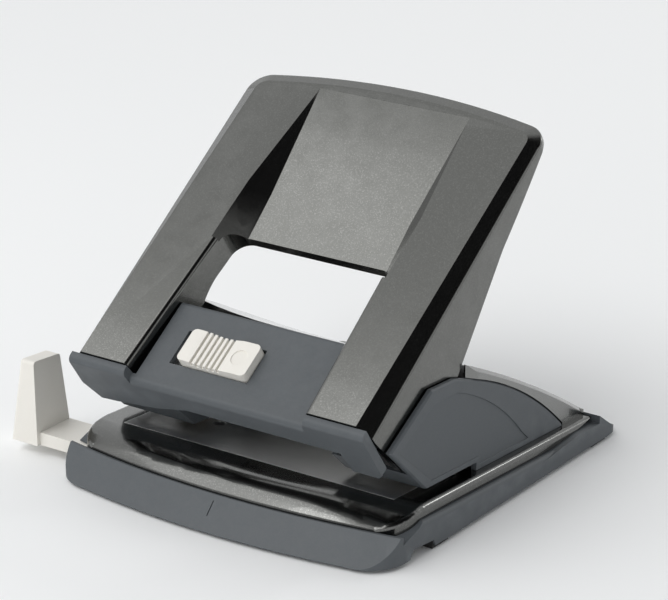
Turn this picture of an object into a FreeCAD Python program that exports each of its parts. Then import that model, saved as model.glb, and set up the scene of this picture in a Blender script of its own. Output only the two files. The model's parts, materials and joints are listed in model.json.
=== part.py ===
import FreeCAD, Part
import math
import os
import re
import Sketcher
from FreeCAD import Placement, Rotation, Vector

# Two-hole punch with a lever handle. Millimetres and degrees.
# The whole stands on the floor with the middle of its outer box over the origin.
# Base frame: X to the right, Y back from the front chord of the base, Z up from the floor.
# Deck frame: the base frame raised to the paper deck and tilted down to the rear.
# Handle frame: origin on the hinge axis, Y along the handle, Z out of its top face.

document = FreeCAD.newDocument("HolePunch")
sheet = document.addObject("Spreadsheet::Sheet", "Sizes")

sizes = {
    # base
    "baseLength": 132.0, "baseRim": 2.1, "railWidth": 6.4, "lipInset": 0.6, "lipBowRadius": 283.0,
    "lipCorner": 12.0, "lipRun": 13.8, "lipForward": 6.8, "lipReach": 2.3, "skirtShoulder": 1.6,
    "baseCorner": 7.0, "footHeight": 1.2, "baseTop": 16.0, "deckHeight": 15.4, "deckTilt": 3.0,
    "deckThick": 2.0, "deckEdge": 3.4, "edgeTaper": 24.0, "edgeTip": 0.3, "deckEdgeWidth": 2.4, "deckEdgeRound": 1.9, "deckNose": 2.5,
    "deckBowRadius": 270.0, "deckKnee": 17.0, "deckDrop": 5.7, "noseRound": 28.0, "deckRim": 3.5,
    "deckSideStart": 19.0, "deckCorner": 13.0, "deckCornerAcross": 7.0, "shelfThick": 2.0,
    "seam": 0.25, "tailLength": 14.0, "tailRise": 0.6, "tailDrop": 5.4, "tailRound": 4.4,
    "tailEnd": 7.6, "lipMark": 0.4, "bayFront": 28.5, "bayWall": 7.0,
    "notchBack": 11.5, "notchRise": 3.9, "notchDepth": 3.5, "lugHeight": 3.4, "lugWidth": 4.0,
    "lugInset": 15.8,
    # paper path and cutting
    "holePitch": 80.0, "holeMargin": 12.0, "punchDiameter": 6.0, "stopDepth": 55.0, "throat": 2.8,
    "dieFit": 0.04, "plateReach": 34.5, "plateTail": 10.8, "plateRim": 10.0, "plateFit": 0.1,
    "punchLift": 0.4, "punchHead": 9.0, "punchHeadThick": 1.6, "punchTop": 21.55,
    "washerRim": 0.4, "washerThick": 1.0, "bushWall": 1.4, "bushTop": 7.4, "frameThick": 2.0,
    "springWire": 0.8, "springFit": 0.3, "springTurns": 5.0, "plateHole": 4.0,
    "plateHoleAcross": 27.0, "plateHoleAlong": 4.5, "frameScrewAcross": 4.0,
    "frameScrewBack": 5.5,
    # hinge and press levers
    "hingeForward": 18.5, "hingeHeight": 16.8, "hingePin": 5.0, "hingeFit": 0.06,
    "pinProud": 2.0, "pinFit": 0.2, "earThick": 1.8, "earTop": 24.6, "washerFit": 0.25,
    "leverFit": 0.25, "leverThick": 1.6, "rollerDiameter": 6.0, "rollerRise": 8.0,
    "leverEye": 4.4, "clipDiameter": 8.4, "clipThick": 0.8,
    # handle
    "restAngle": 34.4, "shellFront": 12.7, "shellTop": 24.6, "shellLength": 115.1,
    "shellArch": 4.0, "shellCorner": 8.0, "shellWall": 2.0, "bevelAcross": 1.5, "bevelDown": 4.0,
    "railInnerFront": 32.3, "railInnerBack": 29.7, "railInnerTop": 27.6, "railRound": 1.5,
    "recessHalf": 31.8,
    "recessEdge": 57.0, "recessKnee": 73.0, "recessTop": 112.0,
    "recessDepth": 7.7, "recessCorner": 25.4, "recessLip": 3.2, "windowCorner": 6.0,
    "floorDrop": 10.0, "floorThick": 2.5, "floorLength": 29.5, "panelDrop": 4.0,
    "panelLength": 28.0, "panelThick": 2.4, "panelRound": 1.6, "hatWall": 1.5, "hatFit": 1.7, "apronDepth": 20.6,
    "apronMiddle": 12.4, "apronRiseLeft": 27.7, "apronStepLeft": 13.7,
    "apronStepRight": 42.2, "apronFront": 3.2, "apronThick": 3.0, "screwSpacing": 14.0,
    "screwMiddle": 3.5, "screwDiameter": 3.0, "screwFit": 0.1, "screwHead": 5.4,
    "screwHeadThick": 1.6, "screwBite": 6.0, "bossDiameter": 6.4, "wallToe": 3.1,
    "wallToeRise": -0.1, "wallDrop": 5.4, "wallHeel": 12.0, "wallHeelRound": 30.0,
    "wallRise": 25.5, "wallRiseDrop": 1.2, "wallWaist": 64.0, "wallWaistUp": 12.4,
    "wallSweep": 400.0, "wallTop": 3.6,
    # lock
    "lockTravel": 3.0, "boltClear": 1.4, "shutAngle": 7.4, "knobLeft": -18.9, "knobLength": 24.9,
    "knobWidth": 11.6, "knobRise": 2.9, "knobFront": 6.6, "knobCorner": 1.6, "slotFit": 0.35,
    "ribCount": 6, "ribPitch": 1.9, "ribGap": 0.9, "ribDepth": 1.9, "dimple": 5.4, "boltDiameter": 3.0, "boltHeight": 11.5,
    "boltForward": 4.0, "catchThick": 1.8, "catchHole": 0.7, "catchFoot": 13.5, "catchRise": 7.2,
    "rivetDiameter": 3.0, "rivetForward": 7.5, "rivetPitch": 4.0, "rivetRise": 2.8,
    # side housings and rear cover
    "cheekFit": 0.4, "cheekThick": 1.8, "cheekReach": 27.7, "noseReach": 46.7,
    "noseHeight": 18.9, "crestReach": 26.1, "crestLength": 12.2, "crestHeight": 32.5,
    "cheekArc": 150.0, "cheekTail": 13.5, "cheekEdge": 1.0, "cheekGap": 2.6, "housingInner": 28.0,
    "facePlate": 10.0, "faceThick": 2.4, "housingRoof": 15.5, "creaseDepth": 0.4,
    "creaseInset": 4.4, "coverGap": 1.0, "coverFit": 0.2, "coverReach": 9.9, "coverHeight": 36.1,
    "coverLean": 2.4, "coverArc": 520.0, "coverTail": 0.5, "coverEdge": 1.8, "coverCrown": -1.0,
    "coverWall": 2.0, "coverSoft": 1.2, "slotLength": 18.0, "slotPlay": 0.7,
    "coverScrewAcross": 22.0, "coverScrewFront": 21.5,
    # tray, guide and feet
    "trayFit": 0.6, "trayWall": 1.6, "trayHingeBack": 2.5, "trayHingeHeight": 3.1,
    "trayPin": 2.0, "trayKnuckle": 3.2, "knuckleWidth": 12.0, "knuckleInset": 6.0,
    "guideOut": 13.9, "guideReach": 31.0, "guideFront": 10.7, "guideWidth": 14.2, "guideLow": 3.8,
    "guideThick": 4.2, "guideFit": 0.3, "notchPitch": 14.0, "notchCount": 7, "notchSize": 2.4,
    "stopHeight": 31.0, "stopThick": 10.8, "stopThickTop": 5.5, "stopRound": 1.2,
    "footLength": 8.5, "footWidth": 4.4, "footRecess": 1.5, "footInset": 0.8,
    "footFromEnd": 13.0,
}
# sizes that follow from the ones above: across the punch first, then along it
derived = {
    "bushDiameter": "(punchDiameter + 2 * bushWall)",
    "springDiameter": "(bushDiameter + springWire + 2 * springFit)",
    "washerDiameter": "(springDiameter + springWire + 2 * washerRim)",
    "leverGap": "(washerDiameter + 2 * washerFit)",
    "leverWidth": "(leverGap + 2 * leverThick)",
    "earGap": "(leverWidth + 2 * leverFit)",
    "frameWidth": "(earGap + 2 * earThick)",
    "earInner": "(holePitch / 2 - frameWidth / 2)",
    "shellWidth": "(holePitch + frameWidth + 2 * (pinProud + pinFit + shellWall))",
    "cheekOuter": "(shellWidth / 2 + cheekFit + cheekThick)",
    "deckWidth": "(2 * (cheekOuter + deckRim))",
    "baseWidth": "(deckWidth + 2 * baseRim)",
    "lipWidth": "(baseWidth - 2 * lipInset)",
    "plateWidth": "(holePitch + 2 * plateRim)",
    "guideFace": "(baseWidth / 2 + guideOut)",
    "boltTip": "(earInner - catchThick - boltClear)",
    "lugFace": "(baseWidth / 2 - lugInset)",
    "punchAlong": "(stopDepth - holeMargin)",
    "hingeAlong": "(punchAlong - hingeForward)",
    "plateFront": "(stopDepth - plateReach)",
    "plateEnd": "(stopDepth + plateTail)",
    "frameScrewAlong": "(stopDepth + frameScrewBack)",
    "cheekLow": "(stopDepth - cheekReach)",
    "noseForward": "(stopDepth - noseReach)",
    "crestFront": "(stopDepth - crestReach)",
    "crestBack": "(crestFront + crestLength)",
    "coverFront": "(stopDepth + coverGap)",
    "coverNose": "(stopDepth - coverReach)",
    "coverEnd": "(deckEnd - coverTail)",
    "slotEnd": "(stopDepth + slotLength)",
    "deckEnd": "(baseLength - tailLength)",
    "cheekEnd": "(deckEnd - cheekTail)",
    "coverScrewAlong": "(coverEnd - coverScrewFront)",
    "bayEnd": "(baseLength - bayWall)",
    "trayHinge": "(bayEnd - trayHingeBack)",
    "lipBulge": "(lipBowRadius - sqrt(lipBowRadius^2 - (lipWidth / 2 - lipCorner)^2))",
    "baseAcross": "((guideFace + stopThick - baseWidth / 2) / 2)",
    "baseForward": "(-(baseLength - lipReach - lipBulge) / 2)",
}
for row, (name, value) in enumerate(sizes.items(), start=1):
    sheet.set("A%d" % row, name)
    sheet.set("B%d" % row, str(value))
    sheet.setAlias("B%d" % row, name)
document.recompute()


def linked(text):
    """Write out the derived sizes in a formula and turn size names into spreadsheet references."""
    def swap(found):
        word = found.group()
        if word in derived:
            return linked(derived[word])
        return "Sizes." + word if word in sizes else word
    return re.sub(r"[A-Za-z]\w*", swap, str(text))


def worth(text):
    """Number that a formula gives with the present sizes."""
    result = sheet.evalExpression(linked(text))
    return float(getattr(result, "Value", result))


def newBody(name, frame):
    """Body with the frame of the base, the deck or the handle."""
    body = document.addObject("PartDesign::Body", name)
    body.Label = name
    if frame == "deck":
        body.Placement = Placement(Vector(0, 1, 1), Rotation(Vector(-1, 0, 0), 1))
        body.setExpression("Placement.Base.z", linked("deckHeight"))
        body.setExpression("Placement.Rotation.Angle", linked("deckTilt"))
    if frame == "handle":
        body.Placement = Placement(Vector(0, 1, 1), Rotation(Vector(1, 0, 0), 1))
        body.setExpression("Placement.Base.z", linked(
            "deckHeight - hingeAlong * sin(deckTilt) + hingeHeight * cos(deckTilt)"))
        body.setExpression("Placement.Rotation.Angle", linked("restAngle"))
    forward = "baseForward"
    if frame == "handle":
        forward = "baseForward + hingeAlong * cos(deckTilt) + hingeHeight * sin(deckTilt)"
    body.setExpression("Placement.Base.x", linked("baseAcross"))
    body.setExpression("Placement.Base.y", linked(forward))
    return body


stepsPerTurn = 12


def newSketch(body, name, plane, offset=None, tilted=False):
    """Sketch on an origin plane, moved out by an offset or laid in the deck frame."""
    sketch = body.newObject("Sketcher::SketchObject", name)
    origin = [item for item in body.Origin.OriginFeatures if item.Role == plane][0]
    sketch.AttachmentSupport = [(origin, "")]
    sketch.MapMode = "FlatFace"
    if tilted:
        axis = Vector(0, 0, -1) if plane == "YZ_Plane" else Vector(-1, 0, 0)
        sketch.AttachmentOffset = Placement(Vector(0, 0, 0), Rotation(axis, 1))
        sketch.setExpression("AttachmentOffset.Rotation.Angle", linked("deckTilt"))
        lift = "AttachmentOffset.Base.y" if plane == "YZ_Plane" else "AttachmentOffset.Base.z"
        sketch.setExpression(lift, linked("deckHeight"))
    if offset is not None:
        sketch.setExpression("AttachmentOffset.Base.z", linked(offset))
    return sketch


def pin(sketch, index, end, x, y):
    """Hold one end of an edge at a formula position."""
    for direction, formula in (("DistanceX", x), ("DistanceY", y)):
        number = sketch.addConstraint(
            Sketcher.Constraint(direction, -1, 1, index, end, worth(formula)))
        sketch.setExpression("Constraints[%d]" % number, linked(formula))


def outline(sketch, corners):
    """Closed outline. A corner is (x, y) or (x, y, radius); the radius bends the edge after it,
    outwards on a counter-clockwise outline when positive and inwards when negative."""
    places = [Vector(worth(corner[0]), worth(corner[1]), 0) for corner in corners]
    starts = []
    ends = []
    for number, corner in enumerate(corners):
        here = places[number]
        there = places[(number + 1) % len(corners)]
        if len(corner) == 2:
            index = sketch.addGeometry(Part.LineSegment(here, there), False)
            starts.append((index, 1))
            ends.append((index, 2))
            continue
        bend = worth(corner[2])
        radius = abs(bend)
        chord = there - here
        rise = math.sqrt(max(radius ** 2 - (chord.Length / 2) ** 2, 0))
        side = Vector(-chord.y, chord.x, 0).normalize() * (rise if bend > 0 else -rise)
        centre = here + chord * 0.5 + side
        first, last = (here, there) if bend > 0 else (there, here)
        turn = [math.atan2(spot.y - centre.y, spot.x - centre.x) for spot in (first, last)]
        circle = Part.Circle(centre, Vector(0, 0, 1), radius)
        index = sketch.addGeometry(Part.ArcOfCircle(circle, turn[0], turn[1]), False)
        starts.append((index, 1 if bend > 0 else 2))
        ends.append((index, 2 if bend > 0 else 1))
        number = sketch.addConstraint(Sketcher.Constraint("Radius", index, radius))
        size = corner[2] if bend > 0 else "-(%s)" % corner[2]
        sketch.setExpression("Constraints[%d]" % number, linked(size))
    for number, corner in enumerate(corners):
        follow = starts[(number + 1) % len(corners)]
        sketch.addConstraint(Sketcher.Constraint(
            "Coincident", ends[number][0], ends[number][1], follow[0], follow[1]))
        pin(sketch, starts[number][0], starts[number][1], corner[0], corner[1])
    return sketch


def rectangle(sketch, left, bottom, right, top):
    return outline(sketch, [(left, bottom), (right, bottom), (right, top), (left, top)])


def circle(sketch, x, y, diameter):
    spot = Vector(worth(x), worth(y), 0)
    index = sketch.addGeometry(Part.Circle(spot, Vector(0, 0, 1), worth(diameter) / 2), False)
    pin(sketch, index, 3, x, y)
    number = sketch.addConstraint(Sketcher.Constraint("Diameter", index, worth(diameter)))
    sketch.setExpression("Constraints[%d]" % number, linked(diameter))
    return sketch


def feature(body, kind, sketch, length=None, symmetric=False, backwards=False):
    """Pad or pocket of a sketch; without a length it goes right through."""
    step = body.newObject("PartDesign::" + kind, sketch.Name + kind)
    step.Profile = sketch
    if symmetric:
        step.SideType = "Symmetric"
    step.Reversed = backwards
    if length is None:
        step.Type = "ThroughAll"
    else:
        step.setExpression("Length", linked(length))
    sketch.Visibility = False
    document.recompute()
    return step


def pad(body, sketch, length, symmetric=False, backwards=False):
    return feature(body, "Pad", sketch, length, symmetric, backwards)


def pocket(body, sketch, length=None, symmetric=False, backwards=False):
    return feature(body, "Pocket", sketch, length, symmetric, backwards)


def groove(body, sketch):
    # cut turned about the upright axis of its sketch
    step = body.newObject("PartDesign::Groove", sketch.Name + "Groove")
    step.Profile = sketch
    step.ReferenceAxis = (sketch, ["V_Axis"])
    step.Angle = 360
    sketch.Visibility = False
    document.recompute()
    return step


def loft(body, kind, sections, ruled=True):
    step = body.newObject("PartDesign::" + kind, sections[0].Name + kind)
    step.Profile = sections[0]
    step.Sections = sections[1:]
    step.Ruled = ruled
    document.recompute()
    return step


def edgesWhere(body, test):
    """Names of the body's edges whose middle point and shape pass a test, in the body's frame."""
    shape = body.Tip.Shape
    chosen = []
    for number, edge in enumerate(shape.Edges, start=1):
        middle = edge.valueAt((edge.FirstParameter + edge.LastParameter) / 2)
        if test(middle, edge):
            chosen.append("Edge%d" % number)
    return chosen


def soften(body, kind, size, test, second=None, flip=False):
    """Fillet or chamfer the edges that pass a test."""
    before = body.Tip
    names = edgesWhere(body, test)
    step = body.newObject("PartDesign::" + kind, body.Name + kind)
    step.Base = (before, names)
    if kind == "Fillet":
        step.setExpression("Radius", linked(size))
    else:
        step.setExpression("Size", linked(size))
    if second is not None:
        step.ChamferType = "Two distances"
        step.setExpression("Size2", linked(second))
        step.FlipDirection = flip
    document.recompute()
    return step


def straight(edge):
    return edge.Curve.TypeId == "Part::GeomLine"


def along(edge, axis):
    # true for a straight edge parallel to an axis
    if not straight(edge):
        return False
    direction = edge.tangentAt(edge.FirstParameter)
    return abs(abs(direction.dot(axis)) - 1) < 1e-3


acrossAxis = Vector(1, 0, 0)
alongAxis = Vector(0, 1, 0)
upAxis = Vector(0, 0, 1)
parts = {}


def keep(body):
    parts[body.Label] = body


# ---------------------------------------------------------------- base

def baseOutline(sketch, back, front):
    # plan of the base: bowed front, round front corners, sides that widen behind the lip
    half = "(lipWidth / 2 - lipCorner)"
    lip = "(lipWidth / 2)"
    side = "(baseWidth / 2)"
    return outline(sketch, [
        ("-" + half, front, "lipBowRadius"),
        (half, front, "lipCorner * 1.02"),
        (lip, front + " + lipCorner"),
        (side, "bayFront + 3"),
        (side, back + " - baseCorner", "baseCorner"),
        (side + " - baseCorner", back),
        ("-" + side + " + baseCorner", back, "baseCorner"),
        ("-" + side, back + " - baseCorner"),
        ("-" + side, "bayFront + 3"),
        ("-" + lip, front + " + lipCorner", "lipCorner * 1.02"),
    ])


def makeBaseHousing():
    body = newBody("base_housing", "base")
    low = newSketch(body, "baseFootprint", "XY_Plane", "footHeight")
    baseOutline(low, "baseLength", "-lipReach")
    pad(body, low, "baseTop - footHeight")
    # sloping lip, turned about the centre of its bow
    lip = newSketch(body, "baseLipCut", "YZ_Plane")
    lip.setExpression("AttachmentOffset.Base.x", linked("lipBowRadius - lipForward"))
    outline(lip, [
        ("-lipBowRadius - 2 * lipRun / (baseTop - footHeight)", "footHeight - 2"),
        ("-lipBowRadius + lipRun", "baseTop"), ("-lipBowRadius + lipRun", "baseTop + 4"),
        ("-lipBowRadius - 12", "baseTop + 4"), ("-lipBowRadius - 12", "footHeight - 2"),
    ])
    groove(body, lip)
    # slope under the deck nose, turned about the centre of the bow
    slope = newSketch(body, "baseNoseCut", "YZ_Plane", tilted=True)
    reach = "(deckNose + deckBowRadius)"
    slope.setExpression("AttachmentOffset.Base.x", linked(reach + " * cos(deckTilt)"))
    slope.setExpression("AttachmentOffset.Base.y", linked(
        "deckHeight - %s * sin(deckTilt)" % reach))
    outline(slope, [
        ("-deckBowRadius + deckKnee - deckNose", "-deckThick"),
        ("-deckBowRadius + deckKnee - deckNose", "baseTop"),
        ("-deckBowRadius - 16", "baseTop"),
        ("-deckBowRadius - 16", "-deckDrop + 0.3"),
        ("-deckBowRadius - seam", "-deckDrop + 0.3"),
        ("-deckBowRadius - seam", "-deckDrop - deckThick - seam * deckDrop / (deckKnee - deckNose)"),
    ])
    groove(body, slope)
    # seat of the deck, then the flush tail behind it
    seat = newSketch(body, "baseDeckSeat", "YZ_Plane", tilted=True)
    outline(seat, [
        ("deckKnee - 6", "-deckThick"), ("deckEnd + seam", "-deckThick"),
        ("deckEnd + seam", "tailRise"),
        ("baseLength - tailRound", "-tailDrop", "-tailRound * 2"),
        ("baseLength + 1", "-tailEnd"), ("baseLength + 1", "baseTop"),
        ("deckKnee - 6", "baseTop"),
    ])
    pocket(body, seat, "baseWidth * 2", symmetric=True)
    for side in ("-1", "1"):
        step = newSketch(body, "baseEdgeSeat" + ("Left" if side == "-1" else "Right"),
                         "YZ_Plane", tilted=True)
        outline(step, [
            ("deckSideStart - seam", "-deckEdge - seam"),
            ("deckEnd - edgeTaper", "-deckEdge - seam"), ("deckEnd + seam", "-edgeTip - seam"),
            ("deckEnd + seam", "deckEdge"), ("deckSideStart - seam", "deckEdge"),
        ])
        step.setExpression("AttachmentOffset.Base.z", linked(
            side + " * (deckWidth / 2 - deckEdgeWidth - seam)"))
        pocket(body, step, "baseWidth", backwards=(side == "1"))
    wall = worth("baseWidth / 2")
    soften(body, "Fillet", "skirtShoulder", lambda middle, edge: straight(edge)
           and abs(abs(middle.x) - wall) < 0.01 and middle.z > 5 and edge.Length > 20)
    # tray bay from below, up to the shelf
    bay = newSketch(body, "baseBay", "XY_Plane", tilted=True)
    bay.setExpression("AttachmentOffset.Base.z", linked(
        "deckHeight - deckThick - shelfThick"))
    rectangle(bay, "-baseWidth / 2 + railWidth", "bayFront", "baseWidth / 2 - railWidth", "bayEnd")
    pocket(body, bay)
    # guide tunnel across the front
    tunnel = newSketch(body, "baseTunnel", "YZ_Plane", "-baseWidth / 2 - 2")
    rectangle(tunnel, "guideFront - guideFit", "guideLow - guideFit",
              "guideFront + guideWidth + guideFit", "guideLow + guideThick + guideFit")
    pocket(body, tunnel, "guideFace + guideReach + 5", backwards=True)
    # finger notches in the skirt
    notch = newSketch(body, "baseNotch", "YZ_Plane", "baseWidth / 2 + 2")
    outline(notch, [
        ("notchBack", "0"), ("bayFront - 3", "0"), ("bayFront - 4.5", "notchRise - 0.7"),
        ("notchBack + 2.5", "notchRise"),
    ])
    pocket(body, notch, "notchDepth + 2")
    # chip windows and screw holes through the shelf
    holes = newSketch(body, "baseShelfHoles", "XY_Plane", tilted=True)
    for side in ("-1", "1"):
        circle(holes, side + " * holePitch / 2", "punchAlong", "punchDiameter * 2")
        for shift in ("-frameScrewAcross", "frameScrewAcross"):
            circle(holes, side + " * (holePitch / 2 + %s)" % shift, "frameScrewAlong",
                   "screwDiameter + screwFit")
        circle(holes, side + " * coverScrewAcross", "coverScrewAlong",
               "screwDiameter + screwFit")
    rectangle(holes, "-holePitch / 4", "punchAlong - 8", "holePitch / 4", "punchAlong + 9")
    pocket(body, holes)
    # lugs for the tray pin
    for side in ("-1", "1"):
        lug = newSketch(body, "baseHingeLug" + ("Left" if side == "-1" else "Right"), "YZ_Plane",
                        side + " * lugFace")
        outline(lug, [
            ("trayHinge - trayPin * 0.8", "trayHingeHeight + lugHeight"),
            ("trayHinge - trayPin * 0.8", "trayHingeHeight - trayPin * 0.8"),
            ("bayEnd + 1", "trayHingeHeight - trayPin * 0.8"),
            ("bayEnd + 1", "trayHingeHeight + lugHeight"),
        ])
        pad(body, lug, "lugWidth", backwards=(side == "1"))
    bore = newSketch(body, "basePinBore", "YZ_Plane")
    circle(bore, "trayHinge", "trayHingeHeight", "trayPin")
    pocket(body, bore, "2 * lugFace + 4", symmetric=True)
    # sockets for the rubber feet
    feet = newSketch(body, "baseFootSockets", "XY_Plane", "0")
    for x, y in footPlaces():
        rectangle(feet, x + " - footWidth / 2", y + " - footLength / 2",
                  x + " + footWidth / 2", y + " + footLength / 2")
    pocket(body, feet, "footHeight + footRecess", backwards=True)
    # fine centre mark on the lip
    mark = newSketch(body, "baseLipMark", "YZ_Plane")
    outline(mark, [("-3.95", "5.46"), ("-0.59", "9.06"), ("0.23", "8.3"), ("-3.13", "4.7")])
    pocket(body, mark, "lipMark", symmetric=True)
    keep(body)


def footPlaces():
    side = "(baseWidth / 2 - footWidth / 2 - footInset)"
    return [(sign + side, y) for sign in ("", "-") for y in ("bayFront", "baseLength - footFromEnd")]


def deckOutline(sketch, inset="0"):
    # plan of the deck, concentric with the bowed lip
    half = "(deckWidth / 2 - %s)" % inset
    corner = "(deckSideStart - 1)"
    nose = "(deckWidth / 2 - deckCornerAcross - %s)" % inset
    noseY = ("(deckNose + deckBowRadius"
             " - sqrt(deckBowRadius^2 - (deckWidth / 2 - deckCornerAcross)^2))")
    return outline(sketch, [
        ("-" + nose, noseY, "deckBowRadius"),
        (nose, noseY, "deckCorner"),
        (half, corner),
        (half, "deckEnd"),
        ("-" + half, "deckEnd"),
        ("-" + half, corner, "deckCorner"),
    ])


def makePaperTable():
    body = newBody("paper_table", "deck")
    plan = newSketch(body, "tablePlan", "XY_Plane")
    deckOutline(plan)
    pad(body, plan, "deckDrop + deckThick", backwards=True)
    # round slope at the front, above and below
    for name, lower in (("tableNoseTop", "0"), ("tableNoseUnder", "deckThick")):
        cut = newSketch(body, name, "YZ_Plane")
        cut.setExpression("AttachmentOffset.Base.x", linked("deckNose + deckBowRadius"))
        knee = "-deckBowRadius + deckKnee - deckNose"
        if lower == "0":
            outline(cut, [(knee, "0"), (knee, "2"), ("-deckBowRadius - 3", "2"),
                          ("-deckBowRadius - 3", "-deckDrop - 3 * deckDrop / (deckKnee - deckNose)",
                           "-noseRound")])
        else:
            outline(cut, [(knee, "-deckThick"), ("-deckBowRadius", "-deckDrop - deckThick"),
                          ("-deckBowRadius", "-deckDrop - 9"), ("-30", "-deckDrop - 9"),
                          ("-30", "-deckThick")])
        groove(body, cut)
    # turned-down side edges
    for side in ("-1", "1"):
        flange = newSketch(body, "tableEdge" + ("Left" if side == "-1" else "Right"), "XY_Plane",
                           "-deckThick")
        inner = side + " * (deckWidth / 2 - deckEdgeWidth)"
        outer = side + " * (deckWidth / 2)"
        rectangle(flange, *((outer, "deckSideStart", inner, "deckEnd") if side == "-1"
                            else (inner, "deckSideStart", outer, "deckEnd")))
        pad(body, flange, "deckEdge - deckThick", backwards=True)
    opening = newSketch(body, "tableOpening", "XY_Plane")
    rectangle(opening, "-plateWidth / 2 - plateFit", "plateFront - plateFit",
              "plateWidth / 2 + plateFit", "plateEnd + plateFit")
    for side in ("-1", "1"):
        circle(opening, side + " * coverScrewAcross", "coverScrewAlong",
               "screwDiameter + screwFit")
    pocket(body, opening)
    half = worth("deckWidth / 2")
    soften(body, "Fillet", "deckEdgeRound", lambda middle, edge: along(edge, alongAxis)
           and abs(abs(middle.x) - half) < 0.01 and middle.z > -0.01)
    # the turned-down edges run out to a point at the rear
    for side in ("-1", "1"):
        taper = newSketch(body, "tableTaper" + ("Left" if side == "-1" else "Right"), "YZ_Plane",
                          side + " * (deckWidth / 2 - deckEdgeWidth)")
        outline(taper, [
            ("deckEnd - edgeTaper", "-deckEdge"), ("deckEnd - edgeTaper", "-deckEdge - 1"),
            ("deckEnd + 1", "-deckEdge - 1"), ("deckEnd + 1", "-edgeTip"),
            ("deckEnd", "-edgeTip"),
        ])
        pocket(body, taper, "deckEdgeWidth * 2", backwards=(side == "1"))
    keep(body)


def makeDiePlate():
    body = newBody("die_plate", "deck")
    plan = newSketch(body, "plateSheet", "XY_Plane")
    rectangle(plan, "-plateWidth / 2", "plateFront", "plateWidth / 2", "plateEnd")
    pad(body, plan, "deckThick", backwards=True)
    holes = newSketch(body, "plateHoles", "XY_Plane")
    for side in ("-1", "1"):
        circle(holes, side + " * holePitch / 2", "punchAlong", "punchDiameter + 2 * dieFit")
        circle(holes, side + " * plateHoleAcross", "punchAlong - plateHoleAlong", "plateHole")
        for shift in ("-frameScrewAcross", "frameScrewAcross"):
            circle(holes, side + " * (holePitch / 2 + %s)" % shift, "frameScrewAlong",
                   "screwDiameter + screwFit")
    pocket(body, holes)
    keep(body)


# ---------------------------------------------------------------- cutting units

def sideName(side):
    return "left" if side == "-1" else "right"


def makePunchFrame(side):
    body = newBody("punch_frame_" + sideName(side), "deck")
    profile = newSketch(body, "frameProfile", "YZ_Plane", side + " * holePitch / 2")
    hinge = "hingeAlong"
    outline(profile, [
        ("stopDepth", "0"), ("plateEnd - 0.4", "0"), ("plateEnd - 0.4", "13"),
        ("plateEnd - 9", "earTop"), (hinge + " + 3", "earTop", "7"),
        (hinge + " - 4.9", "hingeHeight + 1", "7"), (hinge + " - 4.4", "hingeHeight - 3"),
        ("cheekLow + 3.4", "throat"), ("stopDepth", "throat"),
    ])
    pad(body, profile, "frameWidth", symmetric=True)
    inside = newSketch(body, "frameInside", "YZ_Plane", side + " * holePitch / 2")
    rectangle(inside, "0", "throat + frameThick", "plateEnd - 2.4", "earTop + 5")
    pocket(body, inside, "earGap", symmetric=True)
    bores = newSketch(body, "frameBores", "XY_Plane")
    circle(bores, side + " * holePitch / 2", "punchAlong", "bushDiameter")
    pocket(body, bores, "throat + 3", backwards=True)
    hole = newSketch(body, "frameHinge", "YZ_Plane")
    circle(hole, hinge, "hingeHeight", "hingePin")
    pocket(body, hole, "baseWidth", symmetric=True)
    screws = newSketch(body, "frameScrewHoles", "XY_Plane")
    for shift in ("-frameScrewAcross", "frameScrewAcross"):
        circle(screws, side + " * (holePitch / 2 + %s)" % shift, "frameScrewAlong", "screwDiameter")
    pocket(body, screws, "throat + frameThick", backwards=True)
    keep(body)


def roundPart(name, frame, plane, x, y, start, diameters):
    # turned part: stacked cylinders, each (length, diameter), from a start height
    body = newBody(name, frame)
    height = start
    for number, (length, diameter) in enumerate(diameters):
        disc = newSketch(body, "turned%d" % number, plane, height)
        circle(disc, x, y, diameter)
        pad(body, disc, length)
        height = "%s + (%s)" % (height, length)
    return body


def makePunch(side):
    x = side + " * holePitch / 2"
    length = "(punchTop - punchHeadThick - throat - punchLift)"
    body = roundPart("punch_pin_" + sideName(side), "deck", "XY_Plane", x, "punchAlong",
                     "throat + punchLift",
                     [(length, "punchDiameter"), ("punchHeadThick", "punchHead")])
    # hollow cutting edge
    tip = newSketch(body, "punchTip", "YZ_Plane")
    circle(tip, "punchAlong", "throat + punchLift - punchDiameter * 0.32", "punchDiameter * 1.05")
    pocket(body, tip, "baseWidth", symmetric=True)
    keep(body)
    washer = newBody("punch_washer_" + sideName(side), "deck")
    ring = newSketch(washer, "washerRing", "XY_Plane", "punchTop - punchHeadThick - washerThick")
    circle(ring, x, "punchAlong", "washerDiameter")
    circle(ring, x, "punchAlong", "punchDiameter")
    pad(washer, ring, "washerThick")
    keep(washer)
    bush = newBody("guide_bush_" + sideName(side), "deck")
    sleeve = newSketch(bush, "bushSleeve", "XY_Plane", "throat")
    circle(sleeve, x, "punchAlong", "bushDiameter")
    circle(sleeve, x, "punchAlong", "punchDiameter + 2 * hingeFit")
    pad(bush, sleeve, "bushTop - throat")
    keep(bush)


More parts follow.
